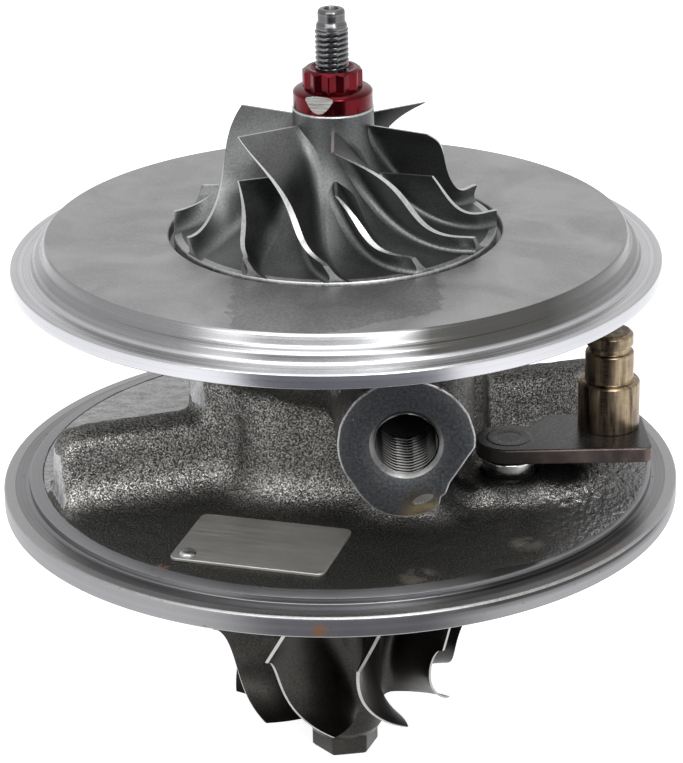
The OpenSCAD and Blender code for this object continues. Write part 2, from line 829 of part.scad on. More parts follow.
module sealing_sleeve() {
    bore = stub_d / 2 + slip;
    groove_r = seal_bore_r - seal_ring_depth - 0.3;
    color("slategray")
        rotate_extrude()
            polygon([[bore, sleeve_z], [thrust_ring_r, sleeve_z], [thrust_ring_r, sleeve_z + sleeve_collar_t],
                [sleeve_r, sleeve_z + sleeve_collar_t], [sleeve_r, seal_ring_z], [groove_r, seal_ring_z],
                [groove_r, seal_ring_z + seal_ring_w], [sleeve_r, seal_ring_z + seal_ring_w],
                [sleeve_r, wheel_base_z], [bore, wheel_base_z]]);
}

// Compressor hub and shroud lines: axial at the nose, radial at the rim.
// sunk moves the hub line into the metal.
function wheel_hub(t, sunk = 0) =
    [hub_r - sunk + (wheel_r - hub_r + sunk - (sunk > 0 ? tip_inset : 0)) * (1 - cos(90 * t)),
     lead_z - (blade_h + sunk) * sin(90 * t)];
function wheel_shroud(t) =
    [inducer_d / 2 + (wheel_r - tip_inset - inducer_d / 2) * (1 - pow(cos(90 * t), shroud_bend.x)),
     lead_z - (blade_h - tip_h) * pow(sin(90 * t), shroud_bend.y)];
function series(c, t, i = 0) = i < len(c) ? c[i] * pow(t, i + 1) + series(c, t, i + 1) : 0;
// u is the way along one blade, and t the way along the whole shroud.
function wheel_camber(t, u, q, start, wrap) =
    let (p = mix(wheel_hub(t, blade_root), wheel_shroud(t), q))
    [p.x, p.y, start + series(wrap, u) + exit_lean * (1 - q) * u];
function wheel_half(u, q) = mix(0.55, mix(0.24, 0.46, sin(90 * min(1, 2 * u))), q);

module compressor_wheel() {
    bore = stub_d / 2 + slip;
    back_boss_r = sleeve_r - 0.3;
    back_z = disc_z - disc_t;
    full = function (u, q) wheel_camber(u, u, q, full_start, full_wrap);
    splitter = function (u, q) wheel_camber(mix(splitter_from, 1, u), u, q, splitter_start, splitter_wrap);
    color([0.33, 0.33, 0.34])
        difference() {
            union() {
                rotate_extrude()
                    polygon(concat([[0, wheel_base_z], [back_boss_r, wheel_base_z], [back_boss_r, back_z]],
                        [[wheel_r, back_z]], [for (i = [10 : -1 : 0]) wheel_hub(i / 10)],
                        [[hub_r, nut_z], [0, nut_z]]));
                for (i = [0 : blade_count - 1])
                    rotate(i * 360 / blade_count) {
                        lofted_blade(full, function (u, q) wheel_half(u, q), 14, 3);
                        lofted_blade(splitter, function (u, q) wheel_half(u, q), 10, 3);
                    }
            }
            translate([0, 0, wheel_base_z - cut])
                cylinder(h = nut_z - wheel_base_z + 2 * cut, r = bore);
        }
}

// Twelve-point nut with a ground balance flat on its flange.
module shaft_nut() {
    flange_h = 2.2;
    shoulder_z = 3;
    points_r = 4.6;
    chamfer = 0.6;
    bore = stub_d / 2 + slip;
    sink_h = 0.8;
    sink_slope = 0.95;
    flat_turn = -111.5;
    flat_lean = 10;
    flat_depth = 0.085;
    color("firebrick")
        difference() {
            union() {
                translate([0, 0, nut_z])
                    rotate_extrude()
                        polygon([[0, 0], [nut_d / 2, 0], [nut_d / 2, flange_h],
                            [nut_d / 2 - 0.4, flange_h + 0.5], [points_r - 0.4, shoulder_z], [0, shoulder_z]]);
                translate([0, 0, nut_z])
                    intersection() {
                        for (turn = [0, 30])
                            rotate(nut_turn + turn)
                                cylinder(h = nut_h, r = points_r, $fn = 6);
                        rotate_extrude()
                            polygon([[0, 1], [nut_d / 2, 1], [nut_d / 2, nut_h - 1.6],
                                [points_r - chamfer, nut_h], [0, nut_h]]);
                    }
            }
            translate([0, 0, nut_z - cut])
                cylinder(h = nut_h + 2 * cut, r = bore);
            translate([0, 0, nut_z + nut_h - sink_h])
                cylinder(h = sink_h + cut, r1 = bore, r2 = bore + (sink_h + cut) * sink_slope);
            rotate(flat_turn)
                translate([nut_d / 2 - flat_depth, 0, nut_z])
                    rotate([0, -flat_lean, 0])
                        translate([0, -nut_d / 2, -cut])
                            cube([nut_d / 2, nut_d, shoulder_z + cut]);
        }
}

// Puts its children at the lever shaft.
module pivot_place(z) {
    translate([pivot_x, pivot_y, z])
        children();
}

module vane_lever() {
    front = -lever_end_r;
    back = pin_y + 4.4;
    tip = pin_x + 5.9;
    corner = 1.5;
    waist = [3, lever_end_r - 0.1];
    shoulder = [6.6, back];
    outline = concat(arc([0, 0], lever_end_r, 54, 270, 12), arc([tip - corner, front + corner], corner, -90, 0),
        arc([tip - corner - 0.5, back - corner], corner, 0, 90), [shoulder, waist]);
    color([0.2, 0.17, 0.15])
        pivot_place(lever_bottom)
            difference() {
                linear_extrude(lever_t)
                    polygon(outline);
                translate([0, 0, -cut])
                    cylinder(h = lever_t + 2 * cut, r = rivet_r + slip);
                translate([pin_x, pin_y, -cut])
                    cylinder(h = lever_t + 2 * cut, r = pin_d / 2 - 0.6);
            }
}

module actuator_pin() {
    collar_h = 7.7;
    seat_h = 4.6;
    groove_w = 1;
    head_h = 2.2;
    groove_r = pin_d / 2 - 0.6;
    head_r = pin_d / 2 - 0.1;
    color([0.45, 0.37, 0.24])
        pivot_place(lever_z)
            translate([pin_x, pin_y])
                rotate_extrude()
                    polygon([[0, -lever_t], [groove_r - slip, -lever_t], [groove_r - slip, 0],
                        [collar_d / 2, 0], [collar_d / 2, collar_h - 0.3], [collar_d / 2 - 0.3, collar_h],
                        [pin_d / 2, collar_h],
                        [pin_d / 2, collar_h + seat_h], [groove_r, collar_h + seat_h],
                        [groove_r, collar_h + seat_h + groove_w], [head_r, collar_h + seat_h + groove_w],
                        [head_r, collar_h + seat_h + groove_w + head_h - 0.5],
                        [head_r - 0.5, collar_h + seat_h + groove_w + head_h],
                        [0, collar_h + seat_h + groove_w + head_h]]);
}

// Stepped shaft, riveted over in the lever and in the crank arm.
module lever_shaft() {
    shaft_r = lever_shaft_d / 2;
    spigot_r = shaft_r - 0.5;
    head_z = lever_z + 0.1;
    color("darkslategray")
        pivot_place(0)
            rotate_extrude()
                polygon([[0, crank_z - 0.3], [spigot_r - 0.3, crank_z - 0.3], [spigot_r, crank_z],
                    [spigot_r, crank_z + crank_t], [shaft_r, crank_z + crank_t],
                    [shaft_r, lever_bottom - 0.3], [rivet_r, lever_bottom - 0.3],
                    [rivet_r, head_z - 0.2], [rivet_r - 0.3, head_z], [1.6, head_z - 0.15], [0, head_z - 0.4]]);
}

module crank_arm() {
    pin_end_r = 3.8;
    color("dimgray")
        pivot_place(crank_z)
            rotate(crank_turn)
                difference() {
                    linear_extrude(crank_t) {
                        circle(crank_end_r);
                        translate([crank_reach, 0])
                            circle(pin_end_r);
                        translate([0, -pin_end_r])
                            square([crank_reach, 2 * pin_end_r]);
                    }
                    translate([0, 0, -cut])
                        cylinder(h = crank_t + 2 * cut, r = lever_shaft_d / 2 - 0.5 + slip);
                    translate([crank_reach, 0, -cut])
                        cylinder(h = crank_t + 2 * cut, r = crank_pin_r - 0.7);
                }
}

module crank_pin() {
    color("gray")
        pivot_place(crank_z)
            rotate(crank_turn)
                translate([crank_reach, 0])
                    rotate_extrude()
                        polygon([[0, -crank_pin_len], [crank_pin_r - 0.4, -crank_pin_len],
                            [crank_pin_r, 0.4 - crank_pin_len], [crank_pin_r, 0], [crank_pin_r - 0.7 - slip, 0],
                            [crank_pin_r - 0.7 - slip, crank_t], [0, crank_t]]);
}

center_housing();
seal_plate();
seal_plate_screws();
seal_plate_o_ring();
thrust_bearing();
oil_deflector();
bearing_retaining_rings();
turbine_piston_ring();
compressor_piston_ring();
heat_shield();
lever_bush();
nameplate();
nameplate_rivet();
journal_bearing_turbine();
journal_bearing_compressor();
turbine_wheel();
rotor_shaft();
thrust_ring_lower();
thrust_ring_upper();
sealing_sleeve();
compressor_wheel();
shaft_nut();
vane_lever();
actuator_pin();
lever_shaft();
crank_arm();
crank_pin();
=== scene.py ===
"""Looks of the turbo cartridge: turned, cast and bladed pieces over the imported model.

Pieces are in millimetres until their meshes are made. Materials and the stage are in metres, but for
Shader.near and Shader.bump, which take millimetres."""
import math

import bmesh
import bpy
import numpy as np
from mathutils import Matrix, Vector, noise


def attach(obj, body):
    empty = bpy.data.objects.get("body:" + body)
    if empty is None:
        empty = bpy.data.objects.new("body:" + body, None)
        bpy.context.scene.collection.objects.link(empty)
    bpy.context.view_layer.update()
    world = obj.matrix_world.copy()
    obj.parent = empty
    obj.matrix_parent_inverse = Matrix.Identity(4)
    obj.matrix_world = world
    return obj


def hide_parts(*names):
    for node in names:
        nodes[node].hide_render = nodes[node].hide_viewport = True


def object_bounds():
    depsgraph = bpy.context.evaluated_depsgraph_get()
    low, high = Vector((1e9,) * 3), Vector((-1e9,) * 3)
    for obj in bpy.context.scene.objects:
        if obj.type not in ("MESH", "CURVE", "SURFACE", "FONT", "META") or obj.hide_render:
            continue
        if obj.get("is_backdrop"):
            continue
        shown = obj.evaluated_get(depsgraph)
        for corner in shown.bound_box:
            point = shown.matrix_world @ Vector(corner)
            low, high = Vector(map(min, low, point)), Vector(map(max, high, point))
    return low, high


MM = 0.001
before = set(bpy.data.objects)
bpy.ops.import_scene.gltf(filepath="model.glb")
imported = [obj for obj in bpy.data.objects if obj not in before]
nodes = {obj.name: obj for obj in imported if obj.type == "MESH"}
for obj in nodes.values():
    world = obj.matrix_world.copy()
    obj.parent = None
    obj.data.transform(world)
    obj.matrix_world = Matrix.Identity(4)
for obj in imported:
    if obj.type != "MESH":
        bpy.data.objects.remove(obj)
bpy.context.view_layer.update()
TAU = 2 * math.pi


# Materials

class Shader:
    """A Principled material with short calls for its texture nodes.

    Textures use the object's own coordinates."""

    def __init__(self, name, color, rough, metal=1.0, **sockets):
        self.mat = bpy.data.materials.new(name)
        self.mat.use_nodes = True
        self.tree = self.mat.node_tree
        self.bsdf = next(n for n in self.tree.nodes if n.type == "BSDF_PRINCIPLED")
        self.set("Base Color", (*color, 1))
        self.set("Roughness", rough)
        self.set("Metallic", metal)
        for socket, value in sockets.items():
            self.set(socket.replace("_", " "), value)
        self.coord = self.make("ShaderNodeTexCoord").outputs["Object"]
        self.normal = None

    def set(self, socket, value):
        self.fill(self.bsdf.inputs[socket], value)

    def make(self, kind, **properties):
        made = self.tree.nodes.new(kind)
        for key, value in properties.items():
            setattr(made, key, value)
        return made

    def fill(self, socket, value):
        """Links a socket to another, or sets its number."""
        if isinstance(value, bpy.types.NodeSocket):
            self.tree.links.new(value, socket)
        else:
            socket.default_value = value

    def math(self, operation, a, b=0.0):
        made = self.make("ShaderNodeMath", operation=operation)
        self.fill(made.inputs[0], a)
        self.fill(made.inputs[1], b)
        return made.outputs[0]

    def split(self):
        made = self.make("ShaderNodeSeparateXYZ")
        self.fill(made.inputs[0], self.coord)
        return made.outputs

    def join(self, x, y, z):
        made = self.make("ShaderNodeCombineXYZ")
        for socket, value in zip(made.inputs, (x, y, z)):
            self.fill(socket, value)
        return made.outputs[0]

    def scaled(self, x, y, z, turn=0.0):
        """The object's coordinates, stretched and turned about Z."""
        made = self.make("ShaderNodeMapping")
        made.inputs["Scale"].default_value = (x, y, z)
        made.inputs["Rotation"].default_value = (0, 0, turn)
        self.fill(made.inputs["Vector"], self.coord)
        return made.outputs[0]

    def noise(self, scale, detail=2.0, rough=0.5, vector=None, distortion=0.0):
        made = self.make("ShaderNodeTexNoise")
        self.fill(made.inputs["Vector"], vector or self.coord)
        made.inputs["Scale"].default_value = scale
        made.inputs["Detail"].default_value = detail
        made.inputs["Roughness"].default_value = rough
        made.inputs["Distortion"].default_value = distortion
        return made.outputs["Fac"]

    def span(self, value, low, high, to_low=0.0, to_high=1.0):
        """Maps low to high onto another range, clamped."""
        made = self.make("ShaderNodeMapRange", clamp=True)
        self.fill(made.inputs["Value"], value)
        for socket, number in zip(("From Min", "From Max", "To Min", "To Max"), (low, high, to_low, to_high)):
            made.inputs[socket].default_value = number
        return made.outputs["Result"]

    def mix(self, share, a, b):
        made = self.make("ShaderNodeMix", data_type="RGBA")
        self.fill(made.inputs["Factor"], share)
        sockets = [s for s in made.inputs if s.type == "RGBA"]
        for socket, color in zip(sockets, (a, b)):
            self.fill(socket, color if isinstance(color, bpy.types.NodeSocket) else (*color, 1))
        return next(s for s in made.outputs if s.type == "RGBA")

    def tint(self, share, color):
        """Lays a colour over what the base colour is so far."""
        base = self.bsdf.inputs["Base Color"].links[0].from_socket
        self.set("Base Color", self.mix(share, base, color))

    def brushed(self, amount):
        """Stretches highlights across grooves that run round Z."""
        self.set("Anisotropic", amount)
        self.set("Anisotropic Rotation", 0.25)
        around = self.make("ShaderNodeTangent", direction_type="RADIAL", axis="Z")
        self.set("Tangent", around.outputs["Tangent"])

    def radius(self):
        x, y, _ = self.split()
        return self.math("SQRT", self.math("ADD", self.math("MULTIPLY", x, x), self.math("MULTIPLY", y, y)))

    def rings(self, scale):
        """Fine lines that run round the object's Z axis, as a lathe leaves them."""
        z = self.split()[2]
        return self.noise(scale, 2.0, 0.6, self.join(self.radius(), z, 0.0))

    def near(self, point, size):
        """1 at a point given in millimetres, falling to 0 at a distance."""
        made = self.make("ShaderNodeVectorMath", operation="DISTANCE")
        self.fill(made.inputs[0], self.coord)
        made.inputs[1].default_value = [c * MM for c in point]
        return self.span(made.outputs["Value"], 0.0, size * MM, 1.0, 0.0)

    def bump(self, height, strength, distance):
        """Adds relief of a distance in millimetres over the bumps made so far."""
        made = self.make("ShaderNodeBump")
        made.inputs["Strength"].default_value = strength
        made.inputs["Distance"].default_value = distance * MM
        self.fill(made.inputs["Height"], height)
        if self.normal:
            self.fill(made.inputs["Normal"], self.normal)
        self.normal = made.outputs["Normal"]
        self.set("Normal", self.normal)


def turned(name, dark, light, rough, lines=3500, depth=0.01, grain=0.12, brushed=0.0):
    """Metal from the lathe, with fine lines round Z."""
    s = Shader(name, light, rough)
    ring = s.rings(lines)
    blotch = s.noise(60, 4)
    shade = s.span(s.math("ADD", ring, s.math("MULTIPLY", blotch, 0.6)), 0.5, 1.1)
    s.set("Base Color", s.mix(shade, dark, light))
    s.set("Roughness", s.span(s.math("ADD", ring, blotch), 0.6, 1.4, rough - grain, rough + grain))
    s.bump(ring, 0.35, depth)
    if brushed:
        s.brushed(brushed)
    return s


def rim_iron(name, dark, light, rough, brushed):
    """Turned iron with a few pits, burnt streaks on the right and a rust smudge on the front wall."""
    s = turned(name, dark, light, rough, 3200, 0.012, 0.08, brushed)
    speck = s.noise(1300, 3, 0.6)
    pits = s.span(s.noise(900, 2, 0.5), 0.7, 0.76)
    s.tint(s.math("MULTIPLY", pits, 0.6), (0.05, 0.05, 0.05))
    x, y, _ = s.split()
    burnt = s.math("MULTIPLY", s.span(x, 0.008, 0.022, 0.0, 0.92), s.span(y, -0.026, -0.012, 1.0, 0.0))
    s.tint(s.math("MULTIPLY", burnt, s.span(s.rings(420), 0.42, 0.54)), (0.025, 0.025, 0.023))
    s.tint(s.math("MULTIPLY", s.near((-3.4, -52.4, 1.0), 1.5), s.span(speck, 0.4, 0.5)), (0.5, 0.2, 0.03))
    return s


def sand_cast():
    """Blasted iron: a skin of small grains lightened into painted glints, painted shade on the floor, old oil
    and a painted shadow round the lever's bush, two patches of painted oil sheen, and wavy beyond the lever,
    where a painted reflection lightens the floor.
    """
    s = Shader("sand_cast_iron", (0.1, 0.1, 0.1), 0.5, 0.85)
    s.set("Specular Tint", (0.3, 0.3, 0.3, 1))
    grain = s.noise(3500, 2, 0.6)
    coarse = s.noise(900, 2, 0.6)
    patch = s.noise(45, 3, 0.55)
    x, _, z = s.split()
    floor = s.span(z, 0.00465, 0.0056, 1.0, 0.0)
    side = s.span(x, 0.028, 0.037)
    low = s.math("MULTIPLY", floor, s.math("SUBTRACT", 1.0, side))
    # Painted glints: the lighter grains of the speckle stand in for sparkle; the same grain also sets the
    # roughness.
    grain_and_glint = s.span(grain, 0.42, 0.66)
    tone = s.mix(grain_and_glint, (0.055, 0.054, 0.051), (0.44, 0.43, 0.41))
    tone = s.mix(s.span(patch, 0.35, 0.7, 0.0, 0.3), tone, (0.14, 0.136, 0.128))
    # Painted shade: the floor and the foot of its fillets are darkened, except beyond the lever.
    tone = s.mix(s.math("MULTIPLY", low, 0.7), tone, (0.075, 0.075, 0.071))
    # Painted reflection: the wavy floor beyond the lever is lightened as if it mirrored the white
    # surroundings.
    tone = s.mix(s.math("MULTIPLY", s.math("MULTIPLY", floor, side), 0.6), tone, (0.34, 0.34, 0.345))
    # Painted sheen: two lighter patches on the floor stand in for light reflected by oil.
    oil_sheen = s.math("MAXIMUM", s.near((11.2, -42.8, 4.6), 3.8), s.near((27.2, -32.6, 4.6), 3.2))
    oil_sheen = s.math("MULTIPLY", s.span(oil_sheen, 0.1, 0.4), s.span(s.noise(380, 4, 0.65), 0.4, 0.55))
    tone = s.mix(s.math("MULTIPLY", oil_sheen, 0.5), tone, (0.46, 0.43, 0.37))
    # Oil and painted shadow: the zone round the lever's bush is darkened past old oil, for the shadow under
    # the lever.
    oil_and_shadow = s.math("MAXIMUM", s.near((25.5, -16.0, 9.5), 8.2), s.near((17.5, -21.5, 10.5), 8.0))
    oil_and_shadow = s.math("MAXIMUM", oil_and_shadow, s.near((32.5, -14.0, 9.0), 7.0))
    tone = s.mix(s.span(oil_and_shadow, 0.12, 0.45, 0.0, 0.9), tone, (0.012, 0.012, 0.012))
    chip = s.math("MULTIPLY", s.near((-26.0, -38.0, 4.6), 1.3), s.span(s.noise(1300, 3, 0.6), 0.44, 0.52))
    s.set("Base Color", s.mix(chip, tone, (0.7, 0.36, 0.2)))
    s.set("Roughness", s.span(grain_and_glint, 0.0, 1.0, 0.36, 0.25))
    wave = s.noise(850, 2, 0.5, s.scaled(1.3, 0.8, 1.0, 0.5))
    s.bump(s.math("MULTIPLY", wave, s.math("MULTIPLY", side, s.span(z, 0.006, 0.009, 1.0, 0.0))), 1.0, 0.8)
    s.bump(coarse, 0.5, 0.2)
    s.bump(grain, 1.0, 0.14)
    return s


def scuffed():
    """Struck tops and ends of the webs: light scrapes over a torn skin."""
    s = Shader("scuffed_iron", (0.3, 0.3, 0.3), 0.42)
    scrape = s.noise(420, 4, 0.7, s.scaled(0.8, 1.5, 1.0, 0.3))
    fine = s.noise(2600, 2)
    tone = s.mix(s.span(scrape, 0.36, 0.64), (0.2, 0.2, 0.203), (0.42, 0.42, 0.424))
    s.set("Base Color", s.mix(s.span(fine, 0.52, 0.7, 0.0, 0.5), tone, (0.6, 0.6, 0.6)))
    s.set("Roughness", s.span(scrape, 0.3, 0.7, 0.36, 0.52))
    s.bump(scrape, 0.5, 0.16)
    s.bump(fine, 0.5, 0.1)
    return s


def plate_face():
    """Ground face of the seal plate, with faint fans of finish lightened into painted highlights, and a
    darker patch in front of the wheel.
    """
    s = Shader("plate_face", (0.3, 0.3, 0.31), 0.46)
    x, y, _ = s.split()
    around = s.math("MULTIPLY", s.math("ARCTAN2", x, s.math("MULTIPLY", y, -1.0)), 2.2)
    finish_and_highlight_fan = s.noise(1.6, 3, 0.55, s.join(around, s.math("MULTIPLY", s.radius(), 45.0), 0.0), 0.6)
    fine = s.noise(2600, 2)
    cloud = s.noise(22, 3)
    ragged = s.math("MULTIPLY", s.math("SUBTRACT", s.noise(420, 4, 0.65), 0.5), 0.006)
    left = s.span(s.math("ADD", x, ragged), -0.0154, -0.0148)
    right = s.span(s.math("ADD", x, ragged), 0.0146, 0.0152, 1.0, 0.0)
    slope = s.math("SUBTRACT", s.math("ADD", y, ragged), s.math("MULTIPLY", x, 0.5))
    inside = s.span(slope, -0.0434, -0.0428)
    front = s.span(y, -0.021, -0.019, 1.0, 0.0)
    darker_zone = s.math("MULTIPLY", s.math("MULTIPLY", left, right), s.math("MULTIPLY", inside, front))
    # Painted highlight: the fans lighten the face as radial highlight fans would; they also vary the
    # roughness.
    tone = s.mix(s.span(finish_and_highlight_fan, 0.36, 0.66), (0.25, 0.25, 0.255), (0.33, 0.33, 0.334))
    tone = s.mix(s.span(fine, 0.45, 0.75, 0.0, 0.35), tone, (0.4, 0.4, 0.4))
    tone = s.mix(s.math("MULTIPLY", darker_zone, s.span(fine, 0.3, 0.7, 0.8, 0.35)), tone, (0.15, 0.15, 0.152))
    s.set("Base Color", tone)
    s.set("Roughness", s.span(s.math("ADD", cloud, finish_and_highlight_fan), 0.7, 1.35, 0.42, 0.56))
    s.bump(fine, 0.3, 0.04)
    return s


def spigot_alloy():
    """Turned walls of the seal plate: brown with old oil and a painted dark reflection on the lever's side,
    and a painted dark reflection on the other.
    """
    s = turned("turned_alloy", (0.38, 0.38, 0.392), (0.58, 0.58, 0.593), 0.28, 4200, 0.008, 0.07, 0.4)
    x, _, z = s.split()
    upper = s.span(z, 0.0391, 0.0396)
    # Old oil and painted dark reflection: the upper walls on the lever's side are darkened more than oil
    # would make them.
    stain = s.math("MULTIPLY", s.span(x, 0.004, 0.013, 0.0, 0.92), s.span(x, 0.03, 0.042, 1.0, 0.6))
    s.tint(s.math("MULTIPLY", stain, upper), (0.055, 0.054, 0.048))
    # Painted dark reflection: the upper walls on the other side are darkened.
    darker_zone = s.math("MULTIPLY", s.span(x, -0.022, -0.012, 0.7, 0.0), s.span(x, -0.047, -0.042))
    s.tint(s.math("MULTIPLY", darker_zone, upper), (0.15, 0.15, 0.154))
    return s


def cast_alloy(name, dark, light, rough, bump=0.04):
    """Cast or blasted metal with a fine even grain."""
    s = Shader(name, light, rough)
    fine = s.noise(3200, 2)
    cloud = s.noise(90, 3)
    s.set("Base Color", s.mix(s.span(s.math("ADD", fine, cloud), 0.65, 1.35), dark, light))
    s.set("Roughness", s.span(cloud, 0.3, 0.7, rough - 0.07, rough + 0.07))
    s.bump(fine, 0.3, bump)
    return s


def bright_edge(name, color, rough):
    """Freshly cut edge with fine marks across it."""
    s = Shader(name, color, rough)
    fine = s.noise(2500, 2, 0.6, s.scaled(1, 1, 0.25))
    s.set("Roughness", s.span(fine, 0.3, 0.7, rough - 0.08, rough + 0.1))
    s.set("Base Color", s.mix(s.span(fine, 0.35, 0.7), [c * 0.78 for c in color], color))
    s.bump(fine, 0.2, 0.01)
    return s


def red_lacquer():
    """Red anodised metal of the nut."""
    s = Shader("red_lacquer", (0.14, 0.002, 0.008), 0.24, 1.0, Coat_Weight=0.15, Coat_Roughness=0.1)
    cloud = s.noise(260, 3)
    s.set("Base Color", s.mix(s.span(cloud, 0.35, 0.7), (0.055, 0.0007, 0.0028), (0.12, 0.0018, 0.0068)))
    s.set("Roughness", s.span(cloud, 0.3, 0.7, 0.2, 0.32))
    return s


def ground_flat():
    """Balance flat, ground by hand: level scratches on bare steel."""
    s = Shader("ground_flat", (0.4, 0.4, 0.38), 0.42)
    scratch = s.noise(900, 3, 0.7, s.scaled(0.25, 0.25, 6))
    s.set("Base Color", s.mix(s.span(scratch, 0.35, 0.68), (0.14, 0.14, 0.128), (0.38, 0.38, 0.36)))
    s.set("Roughness", s.span(scratch, 0.3, 0.7, 0.34, 0.5))
    s.bump(scratch, 0.6, 0.04)
    return s


def oxide(name, dark, light, rough, rust):
    """Blackened steel with brown patches, and painted shade that makes it darkest near the lever's pivot."""
    s = Shader(name, dark, rough, 0.75)
    cloud = s.noise(160, 4, 0.6)
    fine = s.noise(2400, 2)
    tone = s.mix(s.span(cloud, 0.35, 0.68), dark, light)
    s.set("Base Color", s.mix(s.span(s.noise(420, 3), 0.52, 0.75, 0.0, 0.6), tone, rust))
    s.set("Roughness", s.span(s.math("ADD", cloud, fine), 0.7, 1.3, rough - 0.08, rough + 0.12))
    # Painted shade: below x = 7 mm in each object's own coordinates the steel is darkened, for the shadow on
    # the lever's end at its pivot.
    s.tint(s.span(s.split()[0], -0.001, 0.007, 0.75, 0.0), (0.02, 0.019, 0.019))
    s.bump(fine, 0.3, 0.03)
    return s


def straw_steel():
    """Heat-tinted pin: brown with golden upright streaks of painted reflection and fine turning lines."""
    s = Shader("straw_steel", (0.3, 0.22, 0.12), 0.33)
    ring = s.rings(2600)
    upright_reflection = s.noise(520, 4, 0.65, s.scaled(1, 1, 0.1))
    stain = s.noise(240, 3)
    # Painted reflection: the dark and golden upright streaks stand in for the lamps' reflections on the round
    # pin.
    tone = s.mix(s.span(upright_reflection, 0.4, 0.62), (0.055, 0.041, 0.028), (0.37, 0.29, 0.19))
    tone = s.mix(s.span(ring, 0.45, 0.75, 0.0, 0.35), tone, (0.2, 0.16, 0.11))
    s.set("Base Color", s.mix(s.span(stain, 0.5, 0.72, 0.0, 0.6), tone, (0.06, 0.045, 0.035)))
    s.set("Roughness", s.span(s.math("ADD", ring, upright_reflection), 0.7, 1.3, 0.26, 0.46))
    s.bump(ring, 0.3, 0.012)
    return s


def satin_tag():
    """Brushed sheet of the bare nameplate."""
    s = Shader("satin_tag", (0.42, 0.41, 0.37), 0.42, 0.9)
    lines = s.noise(900, 2, 0.6, s.scaled(0.12, 3.0, 1))
    cloud = s.noise(120, 3)
    shade = s.span(s.math("ADD", lines, cloud), 0.65, 1.35)
    s.set("Base Color", s.mix(shade, (0.39, 0.386, 0.366), (0.5, 0.495, 0.47)))
    s.set("Roughness", s.span(lines, 0.3, 0.7, 0.4, 0.55))
    s.bump(lines, 0.15, 0.01)
    return s


def boss_face():
    """Milled inlet face: matt, with a few bright specks, a film of oil at its lower lip and a painted
    highlight on the drop there.
    """
    s = Shader("boss_face", (0.12, 0.12, 0.122), 0.48)
    fine = s.noise(2400, 2)
    tone = s.mix(s.span(fine, 0.35, 0.7), (0.072, 0.075, 0.077), (0.115, 0.119, 0.122))
    tone = s.mix(s.span(s.noise(1100, 2, 0.5), 0.75, 0.78), tone, (0.6, 0.6, 0.6))
    spread = s.math("ADD", s.near((2.4, -10.8, 0), 5.6), s.math("MULTIPLY", s.noise(240, 2), 0.25))
    film = s.span(spread, 0.36, 0.85)
    x, y, _ = s.split()
    # Painted highlight: a pale oval on the drop of oil stands in for the light it reflects.
    along = s.math("SUBTRACT", x, 0.0023)
    across = s.math("SUBTRACT", s.math("ADD", y, 0.0086), s.math("MULTIPLY", along, 0.3))
    reach = s.math("ADD", s.math("POWER", s.math("MULTIPLY", along, 620.0), 2.0),
                   s.math("POWER", s.math("MULTIPLY", across, 1350.0), 2.0))
    drop_highlight = s.span(s.math("ADD", reach, s.math("MULTIPLY", s.noise(700, 2), 0.4)), 0.95, 1.2, 1.0, 0.0)
    tone = s.mix(s.math("MULTIPLY", film, 0.85), tone, (0.22, 0.18, 0.1))
    s.set("Base Color", s.mix(drop_highlight, tone, (0.42, 0.4, 0.34)))
    matt = s.span(fine, 0.3, 0.7, 0.44, 0.54)
    s.set("Roughness", s.math("MULTIPLY", matt, s.span(film, 0.0, 1.0, 1.0, 0.5)))
    s.bump(fine, 0.25, 0.03)
    return s


CAST = sand_cast().mat
RIM = rim_iron("machined_iron", (0.13, 0.13, 0.134), (0.25, 0.25, 0.257), 0.32, 0.0).mat
WALL = rim_iron("flange_wall", (0.19, 0.19, 0.197), (0.28, 0.28, 0.288), 0.46, 0.2).mat
RIM_EDGE = bright_edge("rim_edge", (0.36, 0.36, 0.36), 0.38).mat
SCUFFED = scuffed().mat
FACE = plate_face().mat
LIP = turned("lip_alloy", (0.4, 0.4, 0.42), (0.51, 0.51, 0.534), 0.3, 4200, 0.008, 0.05, 0.5).mat
TURNED = spigot_alloy().mat
WHEEL = cast_alloy("wheel_alloy", (0.07, 0.072, 0.072), (0.148, 0.151, 0.151), 0.43).mat
EDGE = bright_edge("bright_edge", (0.52, 0.52, 0.53), 0.34).mat
DULL = bright_edge("milled_edge", (0.42, 0.42, 0.42), 0.42).mat
LAND = bright_edge("machined_land", (0.45, 0.45, 0.45), 0.34).mat
RED = red_lacquer().mat
GROUND = ground_flat().mat
STEEL = turned("turned_steel", (0.07, 0.07, 0.072), (0.2, 0.2, 0.205), 0.26, 5200, 0.01, 0.1, 0.5).mat
POLISHED = turned("polished_steel", (0.6, 0.59, 0.57), (0.8, 0.79, 0.77), 0.2, 3000, 0.006).mat
OXIDE = oxide("oxide_steel", (0.03, 0.029, 0.029), (0.085, 0.083, 0.082), 0.27, (0.085, 0.075, 0.07)).mat
BROWNED = oxide("browned_edge", (0.045, 0.035, 0.033), (0.11, 0.083, 0.078), 0.42, (0.15, 0.103, 0.09)).mat
STRAW = straw_steel().mat
TAG = satin_tag().mat
RIVET = turned("rivet_alloy", (0.3, 0.3, 0.3), (0.55, 0.55, 0.54), 0.3).mat
HOT = cast_alloy("turbine_alloy", (0.022, 0.021, 0.019), (0.06, 0.056, 0.052), 0.4, 0.07).mat
HOT_EDGE = bright_edge("ground_edge", (0.42, 0.41, 0.4), 0.38).mat
SHEET = cast_alloy("sheet_steel", (0.2, 0.17, 0.15), (0.34, 0.3, 0.27), 0.42).mat
BRONZE = turned("bearing_bronze", (0.42, 0.27, 0.1), (0.62, 0.44, 0.2), 0.32).mat
RUBBER = cast_alloy("seal_rubber", (0.012, 0.012, 0.012), (0.025, 0.025, 0.025), 0.6).mat
BOSS = boss_face().mat
